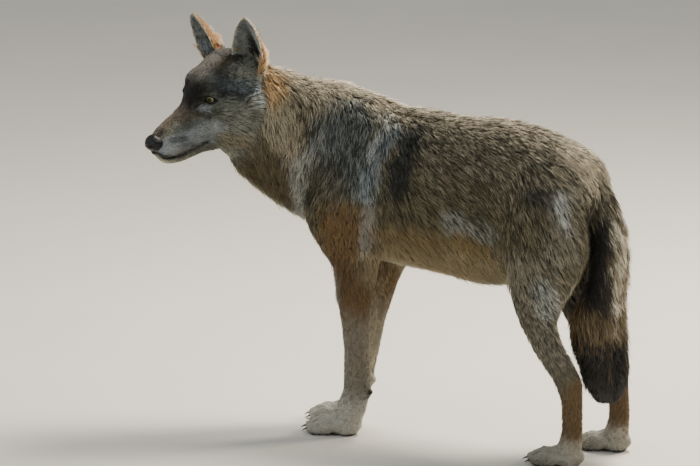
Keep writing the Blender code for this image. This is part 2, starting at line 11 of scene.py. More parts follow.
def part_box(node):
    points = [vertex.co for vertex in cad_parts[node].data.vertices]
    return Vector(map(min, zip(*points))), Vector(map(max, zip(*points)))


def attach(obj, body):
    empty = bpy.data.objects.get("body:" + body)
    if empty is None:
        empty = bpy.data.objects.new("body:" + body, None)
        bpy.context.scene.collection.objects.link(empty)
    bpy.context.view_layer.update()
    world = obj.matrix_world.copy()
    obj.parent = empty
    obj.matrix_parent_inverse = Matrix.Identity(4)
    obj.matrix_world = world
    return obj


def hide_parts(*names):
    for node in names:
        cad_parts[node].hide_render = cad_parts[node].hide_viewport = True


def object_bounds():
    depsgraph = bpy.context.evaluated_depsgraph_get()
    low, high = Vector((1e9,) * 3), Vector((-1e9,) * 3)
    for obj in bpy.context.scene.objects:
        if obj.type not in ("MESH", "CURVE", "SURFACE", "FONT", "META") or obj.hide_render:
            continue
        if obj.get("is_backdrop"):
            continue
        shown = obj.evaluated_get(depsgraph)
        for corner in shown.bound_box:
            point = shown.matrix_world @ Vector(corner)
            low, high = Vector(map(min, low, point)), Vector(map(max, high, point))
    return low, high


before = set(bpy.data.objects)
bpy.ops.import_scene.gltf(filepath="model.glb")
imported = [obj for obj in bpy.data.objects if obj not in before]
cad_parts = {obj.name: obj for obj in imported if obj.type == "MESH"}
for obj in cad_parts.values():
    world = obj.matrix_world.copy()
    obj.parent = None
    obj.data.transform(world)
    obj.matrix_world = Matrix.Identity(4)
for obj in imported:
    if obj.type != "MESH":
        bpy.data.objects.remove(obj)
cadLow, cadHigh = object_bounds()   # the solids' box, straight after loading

started = time.time()
scene = bpy.context.scene
sides = ("left", "right")
legNodes = ["thigh", "shank", "hindpaw", "foreleg", "forepaw"]
headNodes = ["head", "lower_jaw", "ear_left", "ear_right"]
fleshNodes = headNodes + ["neck", "chest", "loins", "tail"]
fleshNodes += [f"{side}_{name}" for side in sides for name in legNodes]
kinds = [name.replace("left_", "").replace("right_", "") for name in fleshNodes]
farAway = 9.0   # where a distance stops counting


# small helpers
def say(text):
    print(f"[{time.time() - started:5.1f} s] {text}")


def pickOnly(*objects):
    bpy.ops.object.select_all(action="DESELECT")
    for item in objects:
        item.select_set(True)
    bpy.context.view_layer.objects.active = objects[0]


def editAll(obj, operator, **settings):
    pickOnly(obj)
    bpy.ops.object.mode_set(mode="EDIT")
    bpy.ops.mesh.select_all(action="SELECT")
    operator(**settings)
    bpy.ops.object.mode_set(mode="OBJECT")


def applyModifier(obj, kind, **settings):
    pickOnly(obj)
    modifier = obj.modifiers.new(kind.lower(), kind)
    for key, value in settings.items():
        setattr(modifier, key, value)
    bpy.ops.object.modifier_apply(modifier=modifier.name)


def remesh(obj, grow, voxel):
    # grown a little first, which closes the cuts between nodes
    applyModifier(obj, "DISPLACE", direction="NORMAL", strength=grow, mid_level=0.0)
    applyModifier(obj, "REMESH", mode="VOXEL", voxel_size=voxel, adaptivity=0.0)


def addObject(name, operator, **settings):
    bpy.ops.object.select_all(action="DESELECT")
    operator(**settings)
    bpy.context.object.name = name
    return bpy.context.object


def toLinear(hexColour):
    channels = [int(hexColour[i:i + 2], 16) / 255 for i in (1, 3, 5)]
    return [c / 12.92 if c <= 0.04045 else ((c + 0.055) / 1.055) ** 2.4 for c in channels]


def addNode(material, kind, settings=None, links=None):
    made = material.node_tree.nodes.new(kind)
    for key, value in (settings or {}).items():
        if isinstance(key, int) or key in made.inputs:
            made.inputs[key].default_value = value
        else:
            setattr(made, key, value)
    for key, source in (links or {}).items():
        material.node_tree.links.new(source, made.inputs[key])
    return made


def newMaterial(name, settings):
    material = bpy.data.materials.new(name)
    material.use_nodes = True
    shader = material.node_tree.nodes["Principled BSDF"]
    for key, value in settings.items():
        shader.inputs[key].default_value = value
    return material, shader


def connect(material, source, target):
    material.node_tree.links.new(source, target)


def setMaterial(mesh, material):
    mesh.materials.clear()
    mesh.materials.append(material)


def setRamp(ramp, stops):
    elements = ramp.color_ramp.elements
    while len(elements) < len(stops):
        elements.new(0.5)
    for element, (place, colour) in zip(elements, stops):
        element.position = place
        element.color = toLinear(colour) + [1]


def shadeByNoise(material, shader, colour, noise, least, most):
    # a colour that a noise makes darker and lighter
    span = {"From Min": 0.3, "From Max": 0.7, "To Min": least, "To Max": most}
    shade = addNode(material, "ShaderNodeMapRange", span, {"Value": noise.outputs["Fac"]})
    mixed = addNode(material, "ShaderNodeVectorMath", {"operation": "SCALE"},
                    {0: colour, "Scale": shade.outputs["Result"]})
    connect(material, mixed.outputs["Vector"], shader.inputs["Base Color"])


def noisyMaterial(name, settings, scale, detail):
    material, shader = newMaterial(name, settings)
    where = addNode(material, "ShaderNodeTexCoord")
    noise = addNode(material, "ShaderNodeTexNoise", {"Scale": scale, "Detail": detail},
                    {"Vector": where.outputs["Object"]})
    return material, shader, noise


def hairyMaterial(name, settings, scale, detail, least, most):
    # the coat's own colour at each point, with a grain over it
    material, shader, grain = noisyMaterial(name, settings, scale, detail)
    tone = addNode(material, "ShaderNodeAttribute", {"attribute_name": "coatColour"})
    shadeByNoise(material, shader, tone.outputs["Color"], grain, least, most)
    return material, shader, grain


def mottledMaterial(name, settings, scale, detail, dark, light):
    # a colour that wanders between two
    material, shader, mottle = noisyMaterial(name, settings, scale, detail)
    ramp = addNode(material, "ShaderNodeValToRGB", None, {"Fac": mottle.outputs["Fac"]})
    setRamp(ramp, [(0.0, dark), (1.0, light)])
    connect(material, ramp.outputs["Color"], shader.inputs["Base Color"])
    return material


def readAll(items, key, width, kind=float):
    values = np.empty(len(items) * width, kind)
    items.foreach_get(key, values)
    return values.reshape(-1, width)


def meshPoints(mesh):
    return readAll(mesh.vertices, "co", 3)


def meshNormals(mesh):
    return readAll(mesh.vertex_normals, "vector", 3)


def meshEdges(mesh):
    return readAll(mesh.edges, "vertices", 2, np.int64)


def faceCentres(mesh):
    return readAll(mesh.polygons, "center", 3)


def setPoints(mesh, points):
    mesh.vertices.foreach_set("co", points.ravel())
    mesh.update()


def smoothFaces(mesh):
    mesh.polygons.foreach_set("use_smooth", np.ones(len(mesh.polygons), bool))


def rotation(degrees, axis):
    return Matrix.Rotation(math.radians(degrees), 3, axis)


def unit(vectors):
    return vectors / np.maximum(np.linalg.norm(vectors, axis=-1, keepdims=True), 1e-9)


def smoothStep(low, high, value):
    t = np.clip((value - low) / (high - low), 0, 1)
    return t * t * (3 - 2 * t)


def fade(low, high, value):
    return 1 - smoothStep(low, high, value)


def groove(gap, reach):
    # 1 in the middle of a groove, 0 from its edge on
    return np.clip(1 - (gap / reach) ** 2, 0, 1)


def blend(values, share, target):
    return values + share[:, None] * (target - values)


def neighbourMean(values, edges):
    a, b = edges[:, 0], edges[:, 1]
    count = np.bincount(a, minlength=len(values)) + np.bincount(b, minlength=len(values))
    made = np.empty_like(values)
    for i in range(values.shape[1]):
        made[:, i] = np.bincount(a, values[b, i], len(values)) + np.bincount(b, values[a, i], len(values))
    return made / np.maximum(count, 1)[:, None]


def spread(values, edges, rounds):
    for _ in range(rounds):
        values = values + 0.6 * (neighbourMean(values, edges) - values)
    return values


def relax(points, edges, strength, rounds):
    # a shrinking and a swelling step by turns, so that facets go and the volume stays
    for _ in range(rounds):
        for step in (0.5, -0.52):
            points = points + step * strength[:, None] * (neighbourMean(points, edges) - points)
    return points


def onNodes(names, owners):
    return np.isin(owners, [fleshNodes.index(name) for name in names])


def shareOf(names, owners, edges, rounds):
    # 1 on these nodes and 0 off them, blended over the border
    return spread(onNodes(names, owners).astype(float)[:, None], edges, rounds)[:, 0]


# places: percentages of a node's box, and the head's own frame
boxes = {name: [np.array(corner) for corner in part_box(name)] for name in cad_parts}
middleY = (boxes["chest"][0][1] + boxes["chest"][1][1]) / 2


def at(node, *percent):
    low, high = boxes[node]
    return low + np.array(percent) / 100 * (high - low)


def alongNodes(*steps):
    # a path: a node's name, then its places in percent; a place before any name is in metres
    node, path = None, []
    for step in steps:
        if isinstance(step, str):
            node = step
        else:
            path.append(at(node, *step) if node else step)
    return np.array(path)


headPose = {"turn": 64.6, "nod": -17.0, "eyesAt": (0.0035, 0.0095)}   # degrees, and the eyes' x and z in metres
headAxes = np.array(rotation(headPose["turn"], "Z") @ rotation(headPose["nod"], "Y"))
eyeCentres = {side: sum(boxes["eye_" + side]) / 2 for side in sides}
midEyes = (eyeCentres["left"] + eyeCentres["right"]) / 2
headOrigin = midEyes - headAxes @ np.array([headPose["eyesAt"][0], 0, headPose["eyesAt"][1]])


def toHead(points):
    # x runs back from the nose, y to the wolf's right, z up
    return (points - headOrigin) @ headAxes


def fromHead(points):
    return np.asarray(points, float) @ headAxes.T + headOrigin


def leftHead(points):
    # centimetres in the head's frame, with the right side laid over the left
    local = toHead(points) * 100
    local[:, 1] = -np.abs(local[:, 1])
    return local


def toLeftSide(points, owners):
    # every place on the body is looked up on the left side, so that both sides are marked alike
    made = points.copy()
    far = made[:, 1] > middleY
    made[far, 1] = 2 * middleY - made[far, 1]
    for name in legNodes:
        leg = onNodes(["right_" + name], owners)
        (low, high), (otherLow, otherHigh) = boxes["right_" + name], boxes["left_" + name]
        share = (points[leg] - low) / (high - low)
        share[:, 1] = 1 - share[:, 1]
        made[leg] = otherLow + share * (otherHigh - otherLow)
    return made


def distanceAlong(points, path):
    path = np.array(path, float)
    if len(path) == 1:
        return np.linalg.norm(points - path[0], axis=1)
    best = np.full(len(points), farAway)
    for a, b in zip(path[:-1], path[1:]):
        leg = b - a
        t = np.clip((points - a) @ leg / (leg @ leg), 0, 1)
        best = np.minimum(best, np.linalg.norm(points - a - t[:, None] * leg, axis=1))
    return best


# the ear's own frame: place in the head's frame, size, half angle of the cup at the root and the tip, and
# degrees that each ear turns outwards, leans outwards and leans back
earForm = {"place": (0.084, 0.0715, 0.056), "height": 0.103, "halfWidth": 0.0415, "cup": (1.57, 0.82),
           "turns": {"left": (12, 2, 15), "right": (8, 0, -2)}}


def earFrame(side):
    # columns: where the cup opens to, towards the outer edge, up the ear; and where the ear stands
    sign = -1 if side == "left" else 1
    out, lean, back = earForm["turns"][side]
    turn = rotation(back, "Y") @ rotation(-sign * lean, "X") @ rotation(-sign * out, "Z")
    x, y, z = earForm["place"]
    return headAxes @ np.array(turn) @ np.diag([-1, sign, 1]), fromHead(np.array([x, sign * y, z]))


def inEar(side, points, normals):
    # 1 on the inner side of the cup and -1 on its back; -1 at the inner rim, 1 at the outer rim; share of the height
    axes, place = earFrame(side)
    local = (points - place) @ axes
    facing = normals @ axes
    height = np.clip(local[:, 2] / earForm["height"], -0.2, 1)
    v = (height + 0.2) / 1.2
    cup = earForm["cup"][0] + (earForm["cup"][1] - earForm["cup"][0]) * v
    middle = earForm["halfWidth"] * (1 - v**2.9) ** 0.67 / np.tan(cup) + 0.008 * v**2
    inward = unit(np.stack([middle - local[:, 0], -local[:, 1]], 1))
    around = np.arctan2(local[:, 1], middle - local[:, 0]) / cup
    return (facing[:, :2] * inward).sum(1), around, height


# the skin: one closed hide from copies of the flesh nodes
skinForm = {
    "grow": 0.0006, "voxel": 0.0032, "triangles": 150000, "relaxRounds": 26, "sinkSteps": 5,
    "relax": {"head": 0.35, "lower_jaw": 0.3, "ear_left": 0.22, "ear_right": 0.22, "forepaw": 0.15, "hindpaw": 0.15,
              "foreleg": 0.6, "shank": 0.5},
}
# length, depth over the skin and width of the hair on each node, in tenths of a millimetre
coatByNode = {
    "head": (130, 20, 15), "lower_jaw": (90, 12, 14), "ear_left": (90, 8, 12), "ear_right": (90, 8, 12),
    "neck": (520, 150, 24), "chest": (400, 110, 23), "loins": (370, 95, 22), "tail": (600, 150, 24),
    "thigh": (330, 75, 22), "shank": (140, 26, 17), "foreleg": (120, 19, 15), "forepaw": (75, 9, 13),
    "hindpaw": (75, 9, 13),
}
# path in centimetres in the head's frame, reach, then length, depth and width in tenths of a millimetre
headZones = [
    ([(-16, 0, -3), (-7, 0, -3)], 4.2, 50, 5, 12),
    ([(-5, -1.5, 0), (2, -1.5, 5)], 2.6, 85, 10, 14),
    ([(0, -4.2, 0)], 2.2, 60, 6, 12),
    ([(2.5, -7.0, -3.5), (5, -9.5, -2.5)], 4.0, 240, 60, 18),
    ([(4, -8.5, -6.5), (7, -9.5, -4.5)], 3.4, 320, 85, 20),
    ([(-3, -2.5, -8.5), (1, -5, -9.5)], 2.6, 150, 30, 17),
]
# reach in millimetres, length, depth and width in tenths of a millimetre, path on the left side
bodyZones = [
    (60, 560, 150, 25, ("neck", (35, 30, 30), (80, 35, 10))),
    (50, 300, 70, 21, ("chest", (2, 20, 30), "left_foreleg", (15, 40, 85))),
    (65, 240, 50, 20, ("chest", (30, 2, 30), "left_foreleg", (35, 10, 95))),
    (55, 480, 120, 23, ("loins", (10, 30, 12), (42, 30, 8))),
    (40, 450, 90, 22, ("left_thigh", (90, 30, 80), (72, 30, 35))),
    (40, 480, 60, 22, ("tail", (65, 45, 0), (60, 45, 10))),
    (45, 200, 45, 19, ("left_thigh", (40, 20, 60), (55, 20, 10))),
]


def joinNodes(name, nodes):
    parts = []
    for node in nodes:
        part = bpy.data.objects.new(name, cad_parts[node].data.copy())
        scene.collection.objects.link(part)
        parts.append(part)
    pickOnly(*parts)
    bpy.ops.object.join()
    editAll(parts[0], bpy.ops.mesh.remove_doubles, threshold=0.00001)
    return parts[0]


def keepLargestShell(obj):
    editAll(obj, bpy.ops.mesh.separate, type="LOOSE")
    shells = sorted(bpy.context.selected_objects, key=lambda item: len(item.data.vertices))
    for extra in shells[:-1]:
        bpy.data.objects.remove(extra)
    return shells[-1]


fleshPoints, fleshFaces, faceOwner = [], [], []
for index, name in enumerate(fleshNodes):
    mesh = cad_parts[name].data
    mesh.calc_loop_triangles()
    start = len(fleshPoints)
    fleshPoints += [v.co[:] for v in mesh.vertices]
    fleshFaces += [tuple(start + i for i in t.vertices) for t in mesh.loop_triangles]
    faceOwner += [index] * len(mesh.loop_triangles)
fleshTree = BVHTree.FromPolygons(fleshPoints, fleshFaces)


def nearestOwners(points):
    return np.array([faceOwner[fleshTree.find_nearest(Vector(p))[2]] for p in points])


def hairSizes(points, owners, headShare, edges, rounds):
    # read off the nodes, blended where two nodes meet, then varied by zones
    sizes = spread((np.array([coatByNode[kind] for kind in kinds]) / 10000)[owners], edges, rounds)
    head, body = leftHead(points), toLeftSide(points, owners)
    for path, reach, *size in headZones:
        share = fade(0.55 * reach, 1.3 * reach, distanceAlong(head, path)) * headShare
        sizes = blend(sizes, share, np.array(size) / 10000)
    for reach, *size, path in bodyZones:
        reach /= 1000
        share = fade(0.5 * reach, 1.4 * reach, distanceAlong(body, alongNodes(*path))) * (1 - headShare)
        sizes = blend(sizes, share, np.array(size) / 10000)
    return sizes


skin = joinNodes("skin", fleshNodes + ["eye_left", "eye_right", "nose"])
remesh(skin, skinForm["grow"], skinForm["voxel"])
skin = keepLargestShell(skin)
skin.name = "skin"
say(f"skin remeshed: {len(skin.data.vertices)} points")

edges = meshEdges(skin.data)
points = meshPoints(skin.data)
owners = nearestOwners(points)
strength = np.array([skinForm["relax"].get(kind, 1.0) for kind in kinds])[owners]
strength = spread(strength[:, None], edges, 12)[:, 0]
points = relax(points, edges, strength, skinForm["relaxRounds"])
setPoints(skin.data, points)

headShare = shareOf(headNodes, owners, edges, 40)
sizes = hairSizes(points, owners, headShare, edges, 60)
sizes[:, 1] *= 1 - 0.6 * shareOf(["ear_left", "ear_right"], owners, edges, 3)
for _ in range(skinForm["sinkSteps"]):   # the hide sinks by the coat's depth, a little at a time
    depth = sizes[:, 1] * smoothStep(0.001, 0.008, points[:, 2])
    points = points - meshNormals(skin.data) * depth[:, None] / skinForm["sinkSteps"]
    points = relax(points, edges, strength * 0.8, 2)
    points[:, 2] = np.maximum(points[:, 2], 0.0)
    setPoints(skin.data, points)
say("skin set inside the coat")

bodyGroup = skin.vertex_groups.new(name="thinned")
share = 1 - spread(headShare[:, None], edges, 10)[:, 0]
levels = np.round(np.clip(share, 0, 1) * 10).astype(int)
for level in range(1, 11):
    bodyGroup.add(np.nonzero(levels == level)[0].tolist(), level / 10, "REPLACE")
applyModifier(skin, "DECIMATE", ratio=skinForm["triangles"] / (2 * len(skin.data.polygons)), vertex_group="thinned",
              vertex_group_factor=4.0)
skin.vertex_groups.clear()
say(f"skin thinned: {len(skin.data.polygons)} faces")


# forms pushed into the skin: lids, lip line, creases between the toes, and the bed of the nose
# the first three in centimetres in the head's frame, angles in degrees, other lengths in metres, bare as lidShare gives
lids = {"spot": [(0.35, -3.05, 0.95)], "finer": 2.3, "softened": 2.6, "bare": 0.22,
        "eyeRadius": 0.0118, "gazeOut": 35.0, "slant": -14.0, "halfWidth": 0.0084, "innerStretch": 1.28,
        "upper": 0.0058, "lower": 0.0062, "roundness": 1.7, "thickness": 0.0012, "clearance": 0.0008, "sunk": 0.0030,
        "reach": 0.020, "around": 0.022}
# the lip line in centimetres in the head's frame, from under the nose back to the corner of the mouth
lipLine = [(-15.3, 0, -6.3), (-14.3, -1.2, -6.8), (-12.4, -1.9, -7.5), (-10.2, -2.3, -7.9), (-7.0, -2.8, -7.8),
           (-4.2, -3.1, -7.2)]
lip = {"reach": 0.30, "bare": 0.24, "finer": 0.9, "softened": 1.2, "depth": 0.0022}   # depth in metres
# the crease between two toes, in metres; its path starts from the middle between their claws' roots
toeGap = {"reach": 0.0034, "depth": 0.0024, "finer": 0.007, "below": 0.06,
          "path": [(-0.004, 0, 0.004), (-0.003, 0, 0.016), (0.010, 0, 0.027), (0.028, 0, 0.037)]}
# in metres, but finer, behind which the faces stay coarse, in centimetres in the head's frame
noseBed = {"around": 0.032, "sink": 0.0065, "bare": 0.0215, "finer": -13.0}
# the left wrist's pad with its reach, and the height up to which the soles are bare, all in metres
pads = {"wrist": np.array([-0.0565, 0.0007, 0.0985]), "reach": 0.0085, "soles": 0.0035}

toeGaps = []
for foot in [f"{side}_{paw}" for paw in ("forepaw", "hindpaw") for side in sides]:
    clawBoxes = [boxes[f"{foot}_claw_{n}"] for n in (1, 2, 3, 4)]
    bases = [np.array([high[0], (low[1] + high[1]) / 2, 0]) for low, high in clawBoxes]
    toeGaps += [(one + two) / 2 + np.array(toeGap["path"]) for one, two in zip(bases, bases[1:])]


def gapBetweenToes(points):
    gap = np.full(len(points), farAway)
    low = np.nonzero(points[:, 2] < toeGap["below"])[0]
    gap[low] = np.min([distanceAlong(points[low], path) for path in toeGaps], axis=0)
    return gap


def refineFaces(obj, chosen, cuts):
    pickOnly(obj)
    bpy.ops.object.mode_set(mode="EDIT")
    bpy.ops.mesh.select_mode(type="FACE")
    bpy.ops.mesh.select_all(action="DESELECT")
    bpy.ops.object.mode_set(mode="OBJECT")
    obj.data.polygons.foreach_set("select", chosen)
    bpy.ops.object.mode_set(mode="EDIT")
    bpy.ops.mesh.subdivide(number_cuts=cuts, smoothness=0)
    bpy.ops.object.mode_set(mode="OBJECT")


def eyeFrame(side):
    # columns: along the gaze, across towards the outer corner, up; all in the part's frame
    sign = -1 if side == "left" else 1
    local = np.array(rotation(-sign * lids["gazeOut"], "Z") @ rotation(sign * lids["slant"], "X"))
    return headAxes @ np.stack([-local[:, 0], sign * local[:, 1], local[:, 2]], 1)


def lidShare(points, side):
    # below 0 inside the opening between the lids, 0 at its edge, growing outwards in units of its half size
    local = (points - eyeCentres[side]) @ eyeFrame(side)
    reach = np.linalg.norm(local, axis=1)
    scale = lids["eyeRadius"] / np.maximum(reach, 1e-6)
    across, up = local[:, 1] * scale, local[:, 2] * scale
    width = np.where(across < 0, lids["halfWidth"] * lids["innerStretch"], lids["halfWidth"])
    height = np.where(up > 0, lids["upper"], lids["lower"])
    power = lids["roundness"]
    value = (np.abs(across / width) ** power + np.abs(up / height) ** power) ** (1 / power) - 1
    return np.where(local[:, 0] > -0.003, value, farAway), local, reach


def noseTop(back):
    # height of the line along the top of the nose, in centimetres in the head's frame
    return -2.0 + np.minimum(0.67 * (back + 14.4), 0.30 * (back + 14.4))


refineFaces(skin, distanceAlong(leftHead(faceCentres(skin.data)), lids["spot"]) < lids["finer"], 3)
local = leftHead(faceCentres(skin.data))
refineFaces(skin, (distanceAlong(local, lipLine) < lip["finer"]) | (local[:, 0] < noseBed["finer"]), 1)
refineFaces(skin, gapBetweenToes(faceCentres(skin.data)) < toeGap["finer"], 1)

points = meshPoints(skin.data)
local = leftHead(points)
softened = distanceAlong(local, lids["spot"]) < lids["softened"]
softened |= distanceAlong(local, lipLine) < lip["softened"]
points = relax(points, meshEdges(skin.data), np.where(softened, 0.8, 0.0), 12)
onLid = lids["eyeRadius"] + lids["thickness"]
for side in sides:
    value, inEye, reach = lidShare(points, side)
    near = (reach < lids["reach"]) & (inEye[:, 0] > -0.004)
    outward = smoothStep(0.35, 1.1, value)
    least = np.where(value < 1.6, lids["eyeRadius"] + lids["clearance"], 0)
    wanted = np.maximum(onLid * (1 - outward) + reach * outward, least)
    hollow = onLid - (onLid - lids["eyeRadius"] + lids["sunk"]) * smoothStep(0, 0.22, -value)
    wanted = np.where(value < 0, hollow, wanted)
    moved = eyeCentres[side] + (points - eyeCentres[side]) * (wanted / np.maximum(reach, 1e-6))[:, None]
    points = np.where(near[:, None], moved, points)
setPoints(skin.data, points)
normals = meshNormals(skin.data)
crease = groove(distanceAlong(leftHead(points), lipLine), lip["reach"])
points = points - normals * (lip["depth"] * crease)[:, None]
crease = groove(gapBetweenToes(points), toeGap["reach"])
points = points - normals * (toeGap["depth"] * crease)[:, None]

# the skin sinks under the nose, well below its hollows
noseMiddle = sum(boxes["nose"]) / 2
underNose = np.nonzero(distanceAlong(points, [noseMiddle]) < noseBed["around"])[0]
overFlesh = np.array([fleshTree.find_nearest(Vector(p))[3] for p in points[underNose]])
points[underNose] -= normals[underNose] * (noseBed["sink"] * smoothStep(0.0010, 0.0045, overFlesh))[:, None]
local = toHead(points[underNose]) * 100
tooHigh = np.maximum(local[:, 2] - noseTop(local[:, 0]) + 0.12, 0) * fade(-13.6, -12.6, local[:, 0])
points[underNose] -= headAxes[:, 2] * (tooHigh / 100)[:, None]
setPoints(skin.data, points)
applyModifier(skin, "TRIANGULATE")
smoothFaces(skin.data)
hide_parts(*fleshNodes)
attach(skin, "root")
say(f"head and toes shaped: {len(skin.data.polygons)} triangles in the skin")


# the lie of the hair
# place in centimetres in the head's frame, and the way the hair points there
headLie = np.array([
    (-14, 0, -3, 1, 0, 0.4), (-11, -0.5, -1, 1, 0, 0.25), (-6, -0.5, 1, 1, 0, 0.5), (-2, -1, 4, 0.85, 0, 0.5),
    (3, -0.5, 7, 0.95, 0, 0.35), (8, -1, 8.2, 1, 0, -0.1), (13, -1, 7, 0.9, 0, -0.4), (-13, -2, -4, 1, -0.1, -0.3),
    (-10, -2.7, -5.5, 0.9, -0.1, -0.5), (-7, -3, -3, 1, -0.1, -0.15), (-5, -3.2, -6, 0.9, -0.1, -0.4),
    (-2, -3.2, -1.5, 1, -0.4, -0.2), (-1.5, -3, 3, 0.8, -0.3, 0.35), (-2.5, -2.6, 1.2, 0.7, -0.3, 0.4),
    (1.5, -4.8, 3.4, 0.85, -0.5, -0.05), (2, -5, 1, 0.9, -0.45, -0.1), (4.5, -6.8, 0.6, 0.8, -0.5, -0.25),
    (0, -5.5, -3, 0.85, -0.4, -0.3), (3.8, -8, -3, 0.8, -0.45, -0.35), (5, -10, -1.5, 0.8, -0.4, -0.2),
    (7, -10, 0.5, 0.75, -0.45, -0.1), (5, -9.5, -5.5, 0.7, -0.3, -0.6), (-1, -4.5, -6.5, 0.85, -0.3, -0.45),
    (1.5, -7, -8, 0.75, -0.3, -0.6), (-12, 0, -9.2, 0.9, 0, -0.4), (-7, -1, -9.3, 1, -0.1, -0.1),
    (-2, -1, -10.3, 0.9, -0.1, -0.4), (2, -3, -12, 0.75, -0.1, -0.65), (7.5, -5.6, 5.6, 0.5, -0.6, -0.6),
    (8, -7.5, 3, 0.7, -0.5, -0.5), (6, -4.5, 6.5, 0.7, -0.2, 0.5), (10, -6.5, 8, 0.1, -0.15, 1),
    (11, -8.5, 9, 0.05, 0.1, 1), (10.5, -7, 12, 0, 0.1, 1), (12, -8.5, 5, 0.3, -0.2, 0.9),
    (13, -8, 2.5, 0.6, -0.4, -0.6),
])
# by node: place in percent of its box, and the way the hair points there on the left side, in hundredths
bodyLie = {
    "neck": [(55, 45, 97, 92, -5, -30), (79, 44, 87, 93, -12, -30), (78, 11, 70, 50, -15, -85),
        (72, 8, 44, 35, 5, -93), (95, 13, 45, -22, 0, -97), (39, 14, 36, 60, 5, -80), (81, 32, 13, 35, 5, -93),
        (60, 50, 15, 55, 0, -83)],
    "chest": [(5, 35, 98, 90, -18, -35), (11, 14, 84, -10, -20, -95), (20, 21, 87, 35, -30, -85),
        (31, 15, 76, 15, -20, -95), (46, 35, 89, 80, -40, -42), (50, 14, 68, 10, -25, -95),
        (74, 10, 68, 60, -20, -75), (17, 5, 47, 2, -10, -99), (40, 2, 35, 10, -5, -99), (25, 50, 100, 95, 0, -25),
        (70, 50, 100, 98, 0, -12), (80, 12, 20, 75, 10, -65), (95, 3, 57, 80, 0, -55), (60, 50, 0, 80, 0, -50),
        (10, 40, 10, 20, 0, -97)],
    "loins": [(5, 20, 83, 87, -22, -42), (15, 5, 56, 80, 0, -55), (22, 5, 42, 70, 8, -68), (24, 16, 20, 45, 10, -88),
        (30, 50, 100, 98, 0, -10), (51, 28, 92, 90, -18, -38), (76, 24, 82, 85, -12, -50), (58, 9, 59, 55, -8, -82),
        (86, 10, 50, 42, 0, -90), (95, 50, 85, 75, 0, -65), (25, 50, 5, 70, 0, -65)],
    "left_thigh": [(49, 3, 73, 42, 0, -90), (88, 30, 70, 50, 0, -85), (10, 30, 70, 20, 0, -95),
        (58, 11, 20, 50, 0, -85)],
    "left_shank": [(30, 50, 90, 55, 0, -80), (75, 50, 50, 10, 0, -100), (60, 50, 10, -10, 0, -100)],
    "left_hindpaw": [(70, 50, 90, -65, 0, -70), (30, 50, 60, -85, 0, -45)],
    "left_foreleg": [(40, 30, 90, 10, 0, -100), (40, 50, 50, 5, 0, -100), (40, 50, 10, -5, 0, -100),
        (85, 50, 90, 25, 0, -97)],
    "left_forepaw": [(75, 50, 95, -60, 0, -75), (30, 50, 60, -85, 0, -45)],
    "tail": [(10, 50, 98, 80, 0, -60), (55, 50, 85, 40, 0, -92), (80, 50, 60, 15, 0, -100), (75, 50, 30, 5, 0, -100),
        (60, 50, 10, 0, 0, -100)],
}
bodyPlaces = np.array([at(node, *row[:3]) for node, rows in bodyLie.items() for row in rows])
bodyWays = unit(np.array([row[3:] for rows in bodyLie.values() for row in rows]) / 100)


def weighStrokes(points, places, directions, near):
    total = np.zeros((len(points), 3))
    for place, direction in zip(places, directions):
        gap = ((points - place) ** 2).sum(1) + near**2
        total += direction / (gap**2)[:, None]
    return unit(total)


def lieOfHair(points, owners, headShare, normals):
    right = toHead(points)[:, 1] > 0
    headWay = weighStrokes(leftHead(points), headLie[:, :3], unit(headLie[:, 3:]), 0.8)
    headWay[right, 1] *= -1
    headWay = headWay @ headAxes.T
    for side in sides:
        ear = onNodes(["ear_" + side], owners)
        facing, around, _ = inEar(side, points[ear], normals[ear])
        axes = earFrame(side)[0]
        outer, upper = np.where(around < 0.25, 0.85, -0.25), np.where(around < 0.25, 0.50, 0.90)
        sweep = outer[:, None] * axes[:, 1] + upper[:, None] * axes[:, 2]
        backWay = axes[:, 2] - 0.12 * np.sign(around)[:, None] * axes[:, 1]
        headWay[ear] = unit(np.where((facing > 0.35)[:, None], sweep, backWay))
    bodyWay = weighStrokes(toLeftSide(points, owners), bodyPlaces, bodyWays, 0.02)
    bodyWay[points[:, 1] > middleY, 1] *= -1
    return unit(headWay * headShare[:, None] + bodyWay * (1 - headShare)[:, None])


